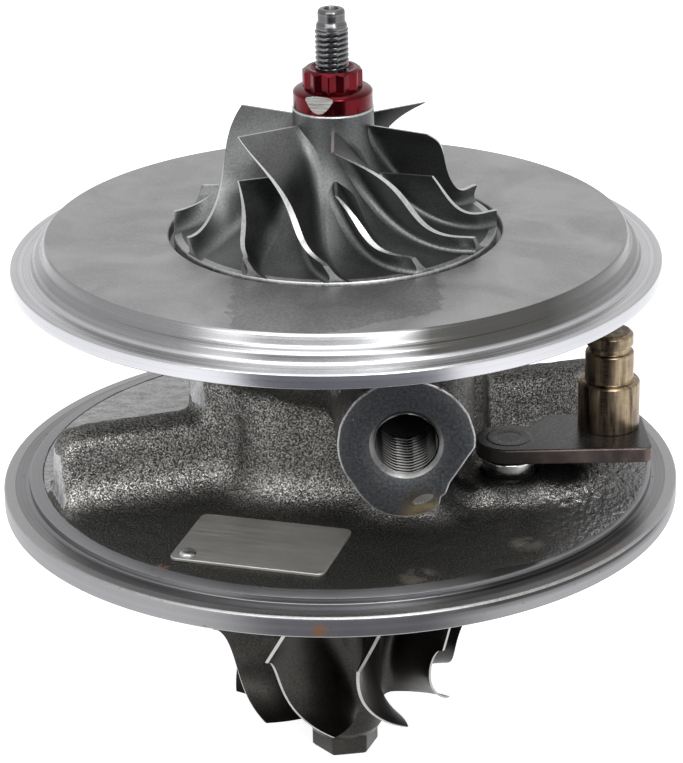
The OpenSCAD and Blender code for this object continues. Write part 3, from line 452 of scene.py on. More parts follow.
BORE = turned("bore_iron", (0.025, 0.025, 0.025), (0.09, 0.088, 0.085), 0.3, 2600, 0.02).mat
BORE_LIP = bright_edge("bore_lip", (0.16, 0.16, 0.16), 0.36).mat
# Painted shade: the end of the oil bore is near black, for the shade deep inside it.
BORE_END_SHADE = cast_alloy("bore_end_shade", (0.008, 0.008, 0.008), (0.016, 0.016, 0.016), 0.5).mat


# Meshes

WELD = 2e-7


def build(name, verts, faces, mats, face_mats, body, stands_for=(), place=None, crease=35):
    """A smooth-shaded object from points in millimetres, riding on a body."""
    mesh = bpy.data.meshes.new(name)
    mesh.from_pydata([[c * MM for c in v] for v in verts], [], [[int(i) for i in f] for f in faces])
    for mat in mats:
        mesh.materials.append(mat)
    mesh.polygons.foreach_set("material_index", np.asarray(face_mats, np.int32))
    welded = bmesh.new()
    welded.from_mesh(mesh)
    bmesh.ops.remove_doubles(welded, verts=welded.verts, dist=WELD)
    welded.to_mesh(mesh)
    welded.free()
    mesh.polygons.foreach_set("use_smooth", np.ones(len(mesh.polygons), bool))
    mesh.set_sharp_from_angle(angle=math.radians(crease))
    made = bpy.data.objects.new(name, mesh)
    bpy.context.scene.collection.objects.link(made)
    if place is not None:
        made.matrix_world = place
    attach(made, body)
    if stands_for:
        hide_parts(*stands_for)
    return made


def at(x, y, z, turn=(0, 0, 0)):
    """A place given in millimetres and degrees."""
    spin = [Matrix.Rotation(math.radians(a), 4, axis) for a, axis in zip(turn, "XYZ")]
    return Matrix.Translation((x * MM, y * MM, z * MM)) @ spin[2] @ spin[1] @ spin[0]


def polar(r, a, z):
    """A point from a radius, an angle and a height."""
    return r * math.cos(a), r * math.sin(a), z


def plain(*points):
    """A profile of (r, z, material) points, all of the first material."""
    return [(r, z, 0) for r, z in points]


def rounded(points, size):
    """Softens the corners of a profile of (r, z, material) points; the ends stay."""
    steps = 3
    out = [points[0]]
    for before, here, after in zip(points, points[1:], points[2:]):
        a, p, b = (np.array(q[:2], float) for q in (before, here, after))
        cut = min(size, 0.4 * np.linalg.norm(a - p), 0.4 * np.linalg.norm(b - p))
        start = p + (a - p) / np.linalg.norm(a - p) * cut
        end = p + (b - p) / np.linalg.norm(b - p) * cut
        for i in range(steps + 1):
            t = i / steps
            q = (1 - t) ** 2 * start + 2 * t * (1 - t) * p + t * t * end
            out.append((q[0], q[1], before[2] if i < steps / 2 else here[2]))
    return out + [points[-1]]


def lathe(profile, steps):
    """Points, faces and face materials of a profile of (r, z, material) turned about Z.

    r may be a function of the angle."""
    verts, faces, mats = [], [], []
    for i in range(steps):
        a = TAU * i / steps
        for r, z, _ in profile:
            verts.append(polar(r(a) if callable(r) else r, a, z))
    n = len(profile)
    for i in range(steps):
        j = (i + 1) % steps
        for k in range(n - 1):
            quad = [i * n + k, j * n + k, j * n + k + 1, i * n + k + 1]
            if profile[k][0] == 0:
                quad = [i * n + k, j * n + k + 1, i * n + k + 1]
            elif profile[k + 1][0] == 0:
                quad = quad[:3]
            faces.append(quad)
            mats.append(profile[k][2])
    return verts, faces, mats


def blade(camber, half, ts, qs, mats):
    """One blade from a camber surface and half its thickness, with tip, leading and trailing strips."""
    rows, cols = len(ts), len(qs)
    verts, faces, face_mats = [], [], []
    for side in (-1, 1):
        for t in ts:
            for q in qs:
                r, z, a = camber(t, q)
                verts.append(polar(r, math.radians(a) + side * half(t, q) / r, z))
    far = rows * cols
    for i in range(rows - 1):
        for j in range(cols - 1):
            k = i * cols + j
            faces.append([k, k + 1, k + cols + 1, k + cols])
            faces.append([far + k, far + k + cols, far + k + cols + 1, far + k + 1])
            face_mats += [mats[0]] * 2
    for i in range(rows - 1):
        k = i * cols + cols - 1
        faces.append([k, far + k, far + k + cols, k + cols])
        face_mats.append(mats[1])
    for row, mat in ((0, mats[2]), (rows - 1, mats[3])):
        for j in range(cols - 1):
            k = row * cols + j
            quad = [k, far + k, far + k + 1, k + 1]
            faces.append(quad if row == 0 else quad[::-1])
            face_mats.append(mat)
    return verts, faces, face_mats


def joined(groups):
    """Several groups of points, faces and face materials as one."""
    verts, faces, mats = [], [], []
    for v, f, m in groups:
        base = len(verts)
        verts += list(v)
        faces += [[i + base for i in face] for face in f]
        mats += list(m)
    return verts, faces, mats


def spun(group, degrees):
    """A group turned about Z."""
    c, s = math.cos(math.radians(degrees)), math.sin(math.radians(degrees))
    return [(x * c - y * s, x * s + y * c, z) for x, y, z in group[0]], group[1], group[2]


def fillet(distance, size):
    """Height of a round fillet at a distance from its corner."""
    return 0.0 if distance >= size else size - math.sqrt(max(0.0, size * size - (size - distance) ** 2))


# Compressor wheel

def compressor_wheel():
    """Six full and six splitter blades on a turned hub, with a land under the nut."""
    nose_r, rim_r, eye_r = 6.1, 24.5, 16.1
    lead_z, disc_z, tip_h, nut_z = 60.0, 43.0, 2.6, 62.2
    split_from, lean, root_fillet, bore_r, pairs = 0.28, 4.0, 1.5, 2.53, 6
    full_start, full_wrap = -90.7, (200, -385.5, 364.4, -121.6)
    split_start, split_wrap = -89.0, (46, -59.1, 39.4)
    height = lead_z - disc_z

    def hub(t):
        a = t * math.pi / 2
        return nose_r + (rim_r - nose_r) * (1 - math.cos(a)), lead_z - height * math.sin(a)

    def shroud(t):
        a = t * math.pi / 2
        bend_r, bend_z = max(0.0, math.cos(a)) ** 0.63, math.sin(a) ** 0.92
        return eye_r + (rim_r - eye_r) * (1 - bend_r), lead_z - (height - tip_h) * bend_z

    def camber(t, u, q, start, wrap):
        (r0, z0), (r1, z1) = hub(t), shroud(t)
        turn = sum(c * u ** (i + 1) for i, c in enumerate(wrap)) + lean * (1 - q) * u
        return min(r0 + (r1 - r0) * q, rim_r - 0.02), z0 + (z1 - z0) * q, start + turn

    def half(t, u, q):
        (r0, z0), (r1, z1) = hub(t), shroud(t)
        tip = 0.2 + 0.3 * math.sin(math.pi / 2 * min(1.0, 2 * u)) - 0.1 * max(0.0, 2 * u - 1)
        grown = math.sin(math.pi / 2 * min(1.0, u / 0.14))
        root = 0.22 + 0.33 * grown
        return root + (tip - root) * q + grown * fillet(q * math.hypot(r1 - r0, z1 - z0), root_fillet)

    def along(u):
        return split_from + (1 - split_from) * u

    qs = [0, 0.015, 0.035, 0.07, 0.11, 0.17, 0.26, 0.38, 0.52, 0.66, 0.8, 0.92, 1.0]
    us = [0.5 * (1 - math.cos(math.pi * i / 44)) for i in range(45)]
    full = blade(lambda u, q: camber(u, u, q, full_start, full_wrap),
                 lambda u, q: half(u, u, q), us, qs, (0, 1, 2, 2))
    split = blade(lambda u, q: camber(along(u), u, q, split_start, split_wrap),
                  lambda u, q: half(along(u), u, q), us, qs, (0, 1, 2, 2))
    profile = plain((bore_r, 39.4), (5.7, 39.4), (5.9, 39.6), (5.9, 41.6))
    profile += [(24.3, 41.6, 2), (24.5, 41.8, 2), (24.5, 42.8, 2), (24.38, 43.0, 2)]
    profile += [(*hub(1 - i / 48), 2 if i < 2 else 0) for i in range(1, 49)]
    profile += [(nose_r, nut_z - 0.55, 0), (nose_r + 0.02, nut_z - 0.3, 3), (nose_r, nut_z - 0.08, 3),
                (nose_r - 0.1, nut_z, 3), (bore_r, nut_z, 3)]
    groups = [lathe(profile, 180)]
    for k in range(pairs):
        groups += [spun(full, 360 / pairs * k), spun(split, 360 / pairs * k)]
    verts, faces, mats = joined(groups)
    build("compressor_wheel_bladed", verts, faces, [WHEEL, EDGE, DULL, LAND], mats, "rotor",
          ("compressor_wheel",), crease=50)


# Turbine wheel

def turbine_wheel():
    """Nine blades on a turned hub with a hexagon nose."""
    disc_r, hub_r, trail_z, length, rim_t, tip_r, out_r = 21.0, 6.4, -36.9, 24.3, 0.8, 21.5, 17.5
    exit_rise, inlet_drop, root_fillet, blades = 1.4, 9.9, 1.6, 9

    def hub(t):
        s, c = math.sin(t * math.pi / 2), math.cos(t * math.pi / 2)
        return disc_r - (disc_r - hub_r) * s, trail_z + (length - rim_t) * c

    def shroud(t):
        s, c = math.sin(t * math.pi / 2), math.cos(t * math.pi / 2)
        return tip_r - (tip_r - out_r) * s, trail_z + exit_rise + (length - rim_t - inlet_drop) * c

    def camber(t, q):
        (r0, z0), (r1, z1) = hub(t), shroud(t)
        lead, turn = -110.5 - 13.2 * q, 34 - 6.1 * q
        return r0 + (r1 - r0) * q, z0 + (z1 - z0) * q, lead + turn * t ** (3 + 3 * q)

    def half(t, q):
        (r0, z0), (r1, z1) = hub(t), shroud(t)
        span = math.hypot(r1 - r0, z1 - z0)
        grown = min(1.0, t / 0.12)
        root, tip = 0.32 + 0.38 * grown - 0.25 * t, 0.27 - 0.05 * t
        return root + (tip - root) * q + grown * fillet(q * span, root_fillet)

    qs = [0, 0.02, 0.05, 0.1, 0.16, 0.25, 0.36, 0.5, 0.64, 0.78, 0.9, 1.0]
    ts = [i / 40 for i in range(41)]
    one = blade(camber, half, ts, qs, (0, 1, 1, 1))
    profile = plain((0, -11.6), (8.25, -11.6), (8.25, -12.6), (20.8, -12.6))
    profile += [(disc_r, -12.8, 1), (disc_r, -13.3, 1)] + plain(*(hub(t) for t in ts))
    profile += plain((6.35, -37.6), (6.25, -41.2), (6.0, -41.6), (5.5, -42.5), (5.2, -42.7), (0, -42.7))
    groups = [lathe(profile, 144), nose_hex()] + [spun(one, 360 / blades * k) for k in range(blades)]
    verts, faces, mats = joined(groups)
    build("turbine_wheel_bladed", verts, faces, [HOT, HOT_EDGE], mats, "rotor",
          ("turbine_wheel",), crease=50)


def nose_hex():
    """Hexagon nose with softened corners and edges."""
    half_flat, corner_r, low, high, turn = 4.7, 5.36, -45.9, -42.4, 8.6

    def hexagon(share):
        def radius(a):
            local = (math.degrees(a) - turn + 30) % 60 - 30
            return share * min(half_flat / math.cos(math.radians(30 - abs(local))), corner_r)
        return radius

    rows = [(0, low, 0), (hexagon(0.88), low, 0), (hexagon(0.96), low + 0.12, 0), (hexagon(1), low + 0.4, 0),
            (hexagon(1), high, 0)]
    return lathe(rows, 120)


# Shaft and nut

def ring_quads(rows, around):
    """Faces between rings of points, each ring on the one before."""
    def quad(i, k):
        j = (k + 1) % around
        return [i * around + k, i * around + j, (i + 1) * around + j, (i + 1) * around + k]

    return [quad(i, k) for i in range(rows) for k in range(around)]


def screw_thread(low, high, pitch, root_r, crest_r, around, fade):
    """Points and faces of a cut thread along Z; the crest dies out over the last stretch below high."""
    per_turn = 12
    rows = int(abs(high - low) / pitch * per_turn)
    verts = []
    for i in range(rows + 1):
        z = low + (high - low) * i / rows
        left = min(1.0, max(0.0, abs(high - z) / fade)) if fade else 1.0
        for k in range(around):
            phase = (z / pitch - k / around) % 1.0
            crest = min(1.0, max(0.0, 1.75 - 3.5 * abs(phase - 0.5)))
            r = root_r + (crest_r - root_r) * crest * left
            verts.append(polar(r, TAU * k / around, z))
    faces = ring_quads(rows, around)
    if high < low:
        faces = [face[::-1] for face in faces]
    return verts, faces, [0] * len(faces)


def threaded_shaft():
    """Shaft with its journals, seal land and a cut thread at the stub."""
    below = plain((0, -11.6), (8.25, -11.6), (8.25, -8.8), (6.8, -8.8), (6.8, -7.5), (8.25, -7.5),
                  (8.25, -5.5), (7.65, -4.9), (4.0, -4.9), (4.0, 6.5), (3.6, 6.9), (3.6, 14.6),
                  (4.0, 15.0), (4.0, 26.0), (2.5, 26.0), (2.5, 66.0), (2.1, 66.2))
    above = plain((2.1, 73.8), (2.36, 74.1), (2.34, 74.6), (2.2, 74.95), (2.08, 75.15), (2.05, 75.4),
                  (2.05, 76.6), (1.98, 76.85), (1.8, 77.03), (1.55, 77.1), (1.14, 77.1))
    above += [(1.06, 77.0, 1), (0.95, 75.3, 1), (0, 74.9, 1)]
    thread = screw_thread(66.0, 74.5, 0.8, 2.06, 2.5, 72, 0.5)
    verts, faces, mats = joined([lathe(rounded(below, 0.12), 96), lathe(above, 64), thread])
    build("rotor_shaft_threaded", verts, faces, [STEEL, BORE], mats, "rotor", ("rotor_shaft",),
          crease=40)


def red_nut():
    """Twelve-point flange nut with a ground balance flat on the flange."""
    base, height, steps, rows = 62.2, 6.0, 360, 120
    flange_r, wall, points_r, valley = 6.0, 2.25, 4.6, math.cos(math.radians(30))
    shoulder_end, chamfer_z, chamfer_slope = 3.15, 5.5, 1.5
    flat_turn, flat_reach, flat_slope = math.radians(-111.5), 6.06, 0.22
    first_point, bore_r, no_flat = 98, 2.55, 99

    def skirt(z):
        """Flange wall with a rounded shoulder that sweeps in to the points."""
        if z < wall:
            return flange_r - 0.15 * max(0.0, 1 - z / 0.15)
        share = min(1.0, (z - wall) / (shoulder_end - wall))
        return flange_r - (flange_r - 3.9) * (1 - math.sqrt(max(0.0, 1 - share ** 2)))

    verts, ground_at = [], []
    for i in range(rows + 1):
        z = height * i / rows
        for k in range(steps):
            a = TAU * k / steps
            local = (math.degrees(a) + first_point + 15) % 30 - 15
            star = points_r * valley / math.cos(math.radians(30 - abs(local)))
            star = min(star, points_r - chamfer_slope * max(0.0, z - chamfer_z), points_r - 0.06)
            r = max(star, skirt(z) if z < shoulder_end else 0.0)
            toward = math.cos(a - flat_turn)
            flat = (flat_reach - flat_slope * z) / toward if toward > 0.5 and r > star else no_flat
            ground_at.append(flat < r - 0.005)
            verts.append(polar(min(r, flat), a, base + z))
    faces = ring_quads(rows, steps)
    mats = [1 if sum(ground_at[q] for q in quad) >= 3 else 0 for quad in faces]
    rings = [rows * steps]
    for r, z in ((3.3, height), (bore_r, height - 0.8), (bore_r, 0)):
        rings.append(len(verts))
        verts += [polar(r, TAU * k / steps, base + z) for k in range(steps)]
    for low, high in zip(rings, rings[1:] + [0]):
        faces += [[low + k, low + (k + 1) % steps, high + (k + 1) % steps, high + k] for k in range(steps)]
        mats += [0] * steps
    build("shaft_nut_points", verts, faces, [RED, GROUND], mats, "rotor", ("shaft_nut",),
          crease=28)


# Seal plate

def seal_plate():
    """Turned plate behind the compressor wheel, from its bore round the lip to the face and the well."""
    profile = [(6.3, 40.9, 1), (6.3, 34.4, 1), (11.0, 34.4, 1), (11.0, 31.7, 1), (13.47, 31.7, 1),
               (13.47, 33.0, 1), (28.0, 33.0, 0), (28.0, 35.6, 0), (29.0, 36.6, 0), (49.3, 36.6, 1),
               (49.5, 36.8, 2), (49.5, 38.7, 1), (49.3, 38.9, 1), (46.9, 38.9, 1), (46.5, 39.0, 1),
               (46.25, 39.3, 1), (46.1, 39.8, 1), (45.95, 40.4, 1), (45.6, 40.75, 1), (45.0, 40.9, 1),
               (44.75, 41.15, 1), (44.6, 41.6, 1), (44.3, 42.55, 1), (44.05, 42.8, 0), (25.5, 42.8, 0),
               (25.3, 42.6, 0), (25.3, 40.9, 0), (6.3, 40.9, 0)]
    verts, faces, mats = lathe(rounded(profile, 0.14), 240)
    build("seal_plate_turned", verts, faces, [FACE, TURNED, LIP], mats, "housing",
          ("seal_plate",))


# Housing

def smoothed(co, edges, weight, rounds):
    """Plain Laplacian smoothing of points, each moved by its weight."""
    count = np.bincount(edges.ravel(), minlength=len(co)).astype(float)[:, None]
    for _ in range(rounds):
        total = np.empty_like(co)
        for axis in range(3):
            total[:, axis] = np.bincount(edges[:, 0], co[edges[:, 1], axis], len(co))
            total[:, axis] += np.bincount(edges[:, 1], co[edges[:, 0], axis], len(co))
        co = co + weight[:, None] * (total / np.maximum(count, 1) - co)
    return co


INLET = (9.6, -37.0, 22.8)
WEB_HALF = 4.2


def beside_web(x, y):
    """Signed distance from the middle of the web on that side of the housing."""
    return np.where(x < 0, 0.951 * y - 0.309 * x, 0.966 * y - 0.259 * x)


def rows_of(items, name):
    """A vector of each item of a mesh, one row each."""
    values = np.empty(len(items) * 3)
    items.foreach_get(name, values)
    return values.reshape(-1, 3)


def casting():
    """The cast body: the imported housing, remeshed and blended, without its machined flange and inlet."""
    source = nodes["center_housing"]
    work = bpy.data.objects.new("casting_work", source.data.copy())
    bpy.context.scene.collection.objects.link(work)
    remesh = work.modifiers.new("voxels", "REMESH")
    remesh.mode = "VOXEL"
    remesh.voxel_size = 0.5 * MM
    graph = bpy.context.evaluated_depsgraph_get()
    mesh = bpy.data.meshes.new_from_object(work.evaluated_get(graph))
    bpy.data.objects.remove(work)
    co, normal = rows_of(mesh.vertices, "co") / MM, rows_of(mesh.vertices, "normal")
    edges = np.empty(len(mesh.edges) * 2, np.int64)
    mesh.edges.foreach_get("vertices", edges)
    x, y, z = co.T
    r = np.hypot(x, y)
    weight = np.full(len(co), 0.5)
    weight[((r > 45.2) & (z < 5.2)) | (z < 4.5) | (z > 30.5)] = 0
    weight[(y < -36.3) | (y > 33.4)] = 0.03
    co = smoothed(co, edges.reshape(-1, 2), weight, 34)
    x, y, z = co.T
    wave = np.array([noise.noise(Vector(p) * 0.55) + 0.6 * noise.noise(Vector(p) * 1.3) for p in co])
    torn = np.array([noise.noise(Vector(p) * 1.5 + Vector((7, 3, 1))) for p in co])
    edge = np.clip(1.4 - np.abs(np.abs(beside_web(x, y)) - WEB_HALF), 0, 1)
    edge *= (z > 14.2) & (z < 17.5) & (r > 21)
    ripple = np.array([noise.noise(Vector((p[0] * 1.1, p[1] * 0.7, p[2]))) for p in co])
    side = np.clip((x - 28) / 9, 0, 1) * np.clip((9 - z) / 3, 0, 1) * np.clip(45.5 - r, 0, 1)
    relief = 0.09 * wave * (weight > 0.1) + 0.45 * torn * edge + 0.22 * ripple * side
    co += normal * relief[:, None]
    mesh.vertices.foreach_set("co", (co * MM).ravel())
    mesh.update()
    x, y, z = (rows_of(mesh.polygons, "center") / MM).T
    port = np.hypot(x - INLET[0], z - INLET[2])
    gone = (np.hypot(x, y) > 46.5) | (z < 4.2) | ((port < 9.3) & (y < -36.6)) | ((port < 5.8) & (y < -22))
    cut = bmesh.new()
    cut.from_mesh(mesh)
    cut.faces.ensure_lookup_table()
    bmesh.ops.delete(cut, geom=[cut.faces[i] for i in np.nonzero(gone)[0]], context="FACES")
    cut.to_mesh(mesh)
    cut.free()
    mesh.materials.clear()
    for mat in (CAST, RIM, SCUFFED):
        mesh.materials.append(mat)
    mesh.update()
    mesh.polygons.foreach_set("material_index", casting_zones(*(rows_of(mesh.polygons, "center") / MM).T))
    mesh.polygons.foreach_set("use_smooth", np.ones(len(mesh.polygons), bool))
    made = bpy.data.objects.new("housing_casting", mesh)
    bpy.context.scene.collection.objects.link(made)
    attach(made, "housing")
    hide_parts("center_housing")


def casting_zones(x, y, z):
    """Material of each face of the casting: 0 cast skin, 1 machined, 2 scuffed tops and ends of the webs."""
    r = np.hypot(x, y)
    off = beside_web(x, y)
    which = np.zeros(len(x), np.int32)
    which[y > 33.7] = 1
    which[(z < 5.2) & (off > 3.35)] = 2
    which[(np.abs(off) < WEB_HALF) & ((r > 45) & (z > 4.9) | (r > 22) & (z > 17.2) & (x < 0))] = 2
    return which


def flange():
    """Turned flange; the cast floor runs further out on the lever's side."""
    def skin(extra):
        def radius(a):
            away = abs((math.degrees(a) + 25 + 180) % 360 - 180)
            reach = 46.4 + 1.5 * min(1.0, max(0.0, (36 - away) / 8))
            ragged = noise.noise(polar(9, a, 0)) + noise.noise(polar(30, a, 1))
            return reach + extra + 0.12 * ragged
        return radius

    top = [(46.0, 4.2, 2), (46.2, 4.6, 2), (skin(0), 4.61, 3), (skin(0.15), 4.55, 3), (48.3, 4.3, 0),
           (48.42, 4.2, 0)]
    profile = plain((48.42, 4.2), (48.52, 3.3), (49.0, 3.2))
    profile += [(50.7, 3.2, 1), (52.2, 3.2, 1), (52.48, 2.9, 3), (52.48, 0.2, 1)]
    profile += plain((52.3, 0), (24.0, 0), (24.0, -2.0), (13.5, -2.0), (13.5, -9.6), (12.5, -10.6),
                     (8.35, -10.6), (8.35, -4.4), (6.95, -4.4), (6.95, 7.6))
    verts, faces, mats = joined([lathe(top, 360), lathe(rounded(profile, 0.12), 360)])
    build("turbine_flange", verts, faces, [RIM, RIM_EDGE, CAST, WALL], mats, "housing")


def oil_inlet():
    """Machined face of the inlet, trimmed beside the lever, with its chamfer and cut thread. Made along Z."""
    boss_r, trim_reach, trim_turn = 10.0, 8.7, math.radians(-33)
    notch_turn, notch_width, notch_depth = math.radians(-60), math.radians(3.5), 0.6
    lip_turn = math.radians(267)

    def edge(inset):
        def radius(a):
            off = math.cos(a - trim_turn)
            r = min(boss_r, trim_reach / off) if off > 0.5 else boss_r
            away = (a - notch_turn + math.pi) % TAU - math.pi
            ragged = noise.noise(polar(5, a, inset * 0.6))
            lip = 1.6 * max(0.0, math.cos(1.9 * min(abs(a - lip_turn), 0.82)))
            return r - inset + lip - notch_depth * math.exp(-(away / notch_width) ** 2) + 0.1 * ragged
        return radius

    face = [(9.0, -2.6, 1), (edge(0.5), -1.8, 1), (edge(0.1), -0.3, 1), (edge(0.14), -0.1, 1),
            (edge(0.4), 0.02, 0), (5.34, 0.02, 2), (5.24, -0.04, 2), (4.75, -0.45, 2), (4.6, -0.6, 2)]
    # The bore's end takes the near-black painted shade.
    end = [(4.98, -13.2, 4), (4.5, -13.4, 4), (1.6, -14.0, 4), (1.6, -15.5, 4), (0, -15.5, 4)]
    verts, faces, mats = screw_thread(-0.4, -13.4, 1.0, 4.98, 4.5, 96, 0)
    groups = [lathe(face, 240), (verts, faces, [3] * len(mats)), lathe(end, 64)]
    verts, faces, mats = joined(groups)
    build("oil_inlet_face", verts, faces, [BOSS, LAND, BORE_LIP, BORE, BORE_END_SHADE], mats, "housing",
          place=at(*INLET, (90, 0, 0)))


# Lever and nameplate

def small_turned(name, node, profile, mats, place, body, steps=96, size=0.12):
    """A turned piece in place of a packed one."""
    verts, faces, face_mats = lathe(rounded(profile, size), steps)
    build(name, verts, faces, mats, face_mats, body, (node,), place)


PIVOT = (25.75, -12.45)
PIN = (15.462, 4.303)


def slab(name, node, outline, low, high, mats, place, body, bevel):
    """Plate from an outline, with softened edges. Sides take the last material."""
    n = len(outline)
    verts = [(x, y, z) for z in (low, high) for x, y in outline]
    faces = [list(range(n))[::-1], list(range(n, 2 * n))] + ring_quads(1, n)
    face_mats = [0, 0] + [len(mats) - 1] * n
    made = build(name, verts, faces, mats, face_mats, body, (node,), place)
    shape = made.modifiers.new("soft_edges", "BEVEL")
    shape.width = bevel * MM
    shape.segments = 3
    shape.limit_method = "ANGLE"
    shape.angle_limit = math.radians(40)


def arc(x, y, r, start, end, steps=8):
    """Points along an arc, with its angles in degrees."""
    turns = [math.radians(start + (end - start) * i / steps) for i in range(steps + 1)]
    return [(x + r * math.cos(a), y + r * math.sin(a)) for a in turns]


def lever_parts():
    """Lever plate, its riveted shaft, the pin at its end and the bush in the housing."""
    top, thick, end_r, corner = 13.0, 2.4, 5.1, 1.5
    tip, back = PIN[0] + 5.9, PIN[1] + 4.4
    outline = arc(0, 0, end_r, 54, 270, 40) + arc(tip - corner, corner - end_r, corner, -90, 0)
    outline += arc(tip - corner - 0.5, back - corner, corner, 0, 90) + [(6.6, back)]
    pivot, seat = at(*PIVOT, 0), at(PIVOT[0] + PIN[0], PIVOT[1] + PIN[1], top)
    slab("vane_lever_plate", "vane_lever", outline, top - thick, top, [OXIDE, BROWNED], pivot, "lever",
         0.3)
    shaft = plain((0, top - 0.34), (1.3, top - 0.14), (1.9, top + 0.02), (3.2, top + 0.06), (3.7, top - 0.03),
                  (3.7, 10.3), (3.0, 10.3), (3.0, -1.2), (2.5, -1.2), (2.5, -3.4), (2.2, -3.7), (0, -3.7))
    small_turned("lever_shaft_turned", "lever_shaft", shaft, [OXIDE], pivot, "lever")
    pin = plain((0, -2.4), (3.07, -2.4), (3.07, 0), (4.7, 0), (4.7, 7.35), (4.4, 7.7), (3.7, 7.7),
                (3.7, 12.1), (3.55, 12.3), (3.1, 12.35), (3.1, 13.25), (3.45, 13.3), (3.6, 13.45),
                (3.6, 15.0), (3.1, 15.5), (0, 15.5))
    small_turned("actuator_pin_turned", "actuator_pin", pin, [STRAW], seat, "lever", 128, 0.16)
    # Painted shade: below z 8.45 the bush's outer wall takes the dark oxide in place of polished steel, for
    # the shadow under the lever.
    bush = [(3.05, -1.0, 1), (4.05, -1.0, 1), (4.05, 8.45, 0), (4.05, 9.9, 0), (3.8, 10.2, 1),
            (3.05, 10.2, 1), (3.05, -1.0, 1)]
    small_turned("lever_bush_turned", "lever_bush", bush, [POLISHED, OXIDE], pivot, "housing")


def nameplate():
    """Bare tag on the floor of the housing, with the head of its rivet."""
    length, width, thick, corner, inset = 23.5, 15.8, 0.5, 1.2, (2.3, 1.9)
    x, y = length / 2 - corner, width / 2 - corner
    outline = arc(x, y, corner, 0, 90) + arc(-x, y, corner, 90, 180) + arc(-x, -y, corner, 180, 270)
    outline += arc(x, -y, corner, 270, 360)
    place = at(-11.7, -31.582, 4.6, (0, 0, -16.6))
    slab("nameplate_bare", "nameplate", outline, 0.0, thick, [TAG], place, "housing", 0.12)
    head_r, head_h, steps = 1.3, 0.7, 10
    rises = np.linspace(0, math.pi / 2, steps)[:-1]
    dome = [(head_r * math.cos(a), thick + head_h * math.sin(a)) for a in rises]
    verts, faces, mats = lathe(plain((1.25, 0.45), *dome, (0, thick + head_h)), 48)
    spot = place @ at(inset[0] - length / 2, inset[1] - width / 2, 0)
    build("nameplate_rivet_head", verts, faces, [RIVET], mats, "housing",
          ("nameplate_rivet",), spot)


PACKED = {"seal_plate_screws": STEEL, "seal_plate_o_ring": RUBBER, "thrust_bearing": BRONZE,
          "oil_deflector": SHEET, "bearing_retaining_rings": STEEL, "turbine_piston_ring": STEEL,
          "compressor_piston_ring": STEEL, "heat_shield": SHEET, "journal_bearing_turbine": BRONZE,
          "journal_bearing_compressor": BRONZE, "thrust_ring_lower": STEEL, "thrust_ring_upper": STEEL,
          "sealing_sleeve": STEEL, "crank_arm": OXIDE, "crank_pin": STEEL}


# Stage

def camera():
    """Camera fitted to the photograph."""
    sensor, picture_px, target = 36, 683, Vector((0.4903, 0, 17.5439))
    focal_px, distance, lift, roll = 2980.742, 462.2015, 0.3899523, -0.0189673
    lens = bpy.data.cameras.new("camera")
    lens.sensor_fit = "HORIZONTAL"
    lens.sensor_width = sensor
    lens.lens = focal_px * sensor / picture_px
    lens.clip_start = 0.01
    forward = Vector((0, math.cos(lift), -math.sin(lift)))
    right, up = Vector((1, 0, 0)), Vector((0, math.sin(lift), math.cos(lift)))
    x = right * math.cos(roll) + up * math.sin(roll)
    y = up * math.cos(roll) - right * math.sin(roll)
    made = bpy.data.objects.new("camera", lens)
    made.matrix_world = Matrix((x, y, -forward)).transposed().to_4x4()
    made.location = (target - forward * distance) * MM
    bpy.context.scene.collection.objects.link(made)
    bpy.context.scene.camera = made


def lamp(name, place, size, power):
    """Rectangular lamp turned to the middle of the object."""
    light = bpy.data.lights.new(name, "AREA")
    light.shape = "RECTANGLE"
    light.size, light.size_y = size
    light.energy = power
    made = bpy.data.objects.new(name, light)
    made.location = place
    middle = Vector((0, 0, 0.02))
    made.rotation_euler = (middle - Vector(place)).to_track_quat("-Z", "Y").to_euler()
    bpy.context.scene.collection.objects.link(made)


def white_or_lit(tree, white, lit, out):
    """White where the camera, a reflection or clear glass looks, and the lit shader for other light."""
    path = tree.nodes.new("ShaderNodeLightPath")
    seen = path.outputs["Is Camera Ray"]
    for ray in ("Is Glossy Ray", "Is Transmission Ray"):
        most = tree.nodes.new("ShaderNodeMath")
        most.operation = "MAXIMUM"
        tree.links.new(seen, most.inputs[0])
        tree.links.new(path.outputs[ray], most.inputs[1])
        seen = most.outputs[0]
    mix = tree.nodes.new("ShaderNodeMixShader")
    tree.links.new(seen, mix.inputs[0])
    tree.links.new(lit, mix.inputs[1])
    tree.links.new(white, mix.inputs[2])
    tree.links.new(mix.outputs[0], out)


def studio_world():
    """White background that lights the object softly."""
    world = bpy.data.worlds.new("studio")
    bpy.context.scene.world = world
    world.use_nodes = True
    tree = world.node_tree
    out = next(n for n in tree.nodes if n.type == "OUTPUT_WORLD")
    white, lit = (tree.nodes.new("ShaderNodeBackground") for _ in range(2))
    white.inputs["Color"].default_value = (1, 1, 1, 1)
    lit.inputs["Color"].default_value = (0.95, 0.97, 1, 1)
    lit.inputs["Strength"].default_value = 0.45
    white_or_lit(tree, white.outputs[0], lit.outputs[0], out.inputs["Surface"])


def sheet(name, corners, mat):
    """A flat piece of the studio, not part of the object."""
    mesh = bpy.data.meshes.new(name)
    mesh.from_pydata(corners, [], [(0, 1, 2, 3)])
    mesh.materials.append(mat)
    made = bpy.data.objects.new(name, mesh)
    bpy.context.scene.collection.objects.link(made)
    made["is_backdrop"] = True
    return made


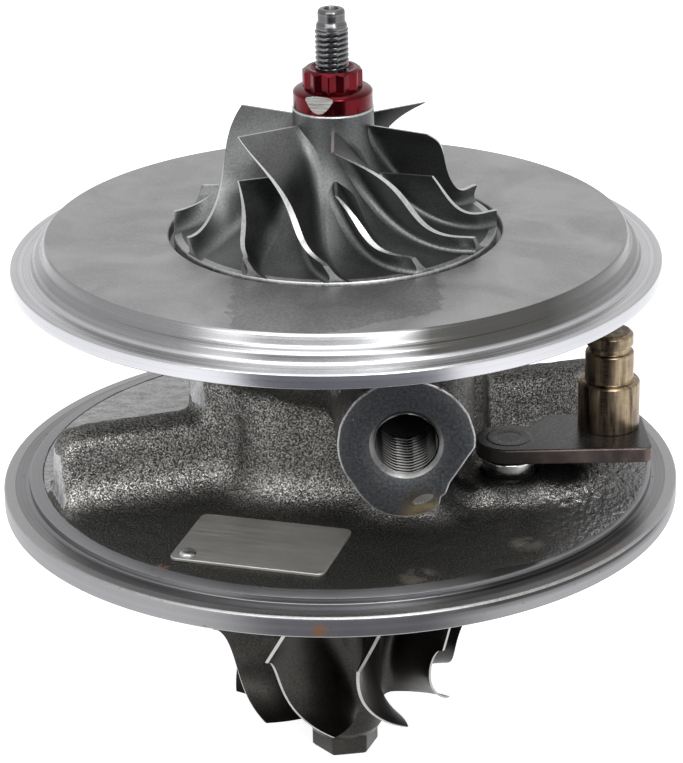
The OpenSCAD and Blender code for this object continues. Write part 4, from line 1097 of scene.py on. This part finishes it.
def pale_floor():
    """White ground that still takes the object's soft shadow."""
    paint = bpy.data.materials.new("floor_white")
    paint.use_nodes = True
    tree = paint.node_tree
    out = next(n for n in tree.nodes if n.type == "OUTPUT_MATERIAL")
    matte = next(n for n in tree.nodes if n.type == "BSDF_PRINCIPLED")
    matte.inputs["Base Color"].default_value = (0.9, 0.9, 0.9, 1)
    matte.inputs["Roughness"].default_value = 0.8
    glow = tree.nodes.new("ShaderNodeEmission")
    glow.inputs["Strength"].default_value = 0.72
    both = tree.nodes.new("ShaderNodeAddShader")
    tree.links.new(glow.outputs[0], both.inputs[0])
    tree.links.new(matte.outputs[0], both.inputs[1])
    white_or_lit(tree, both.outputs[0], matte.outputs[0], out.inputs["Surface"])
    return paint


def dark_cloth():
    """Dark grey-blue cloth of the cards that give the turned walls their dark side."""
    cloth = bpy.data.materials.new("dark_cloth")
    cloth.use_nodes = True
    matte = next(n for n in cloth.node_tree.nodes if n.type == "BSDF_PRINCIPLED")
    matte.inputs["Base Color"].default_value = (0.075, 0.075, 0.1, 1)
    matte.inputs["Roughness"].default_value = 0.9
    return cloth


def stage():
    """White ground, cards that only reflections see, and lamps."""
    bpy.context.scene.view_settings.view_transform = "Standard"
    studio_world()
    low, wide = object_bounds()[0].z - 0.1 * MM, 4
    ground = [(-wide, -wide, low), (wide, -wide, low), (wide, wide, low), (-wide, wide, low)]
    sheet("floor", ground, pale_floor())
    left, right, near, far, lift, top = -0.93, 0.98, -0.07, -1.4, low + 0.002, 0.42
    cloth, foot = dark_cloth(), [(left, far, lift), (right, far, lift)]
    cards = [sheet("dark_card", foot + [(0.05, near, lift), (-0.03, near, lift)], cloth),
             sheet("dark_curtain", foot + [(right, far, top), (left, far, top)], cloth)]
    for card in cards:
        for ray in ("visible_camera", "visible_diffuse", "visible_transmission", "visible_shadow"):
            setattr(card, ray, False)
    lamp("left_strip", (-0.44, -0.49, 0.48), (0.22, 0.6), 1.2)
    lamp("right_strip", (0.25, -0.61, 0.48), (0.16, 0.6), 2.4)
    lamp("top_box", (0.0, -0.05, 0.85), (0.6, 0.6), 2.0)
    lamp("front_box", (0.0, -0.75, 0.6), (1.0, 0.35), 5.2)


compressor_wheel()
turbine_wheel()
threaded_shaft()
red_nut()
seal_plate()
casting()
flange()
oil_inlet()
lever_parts()
nameplate()
for node, mat in PACKED.items():
    for held in nodes[node].material_slots:
        held.material = mat
camera()
stage()
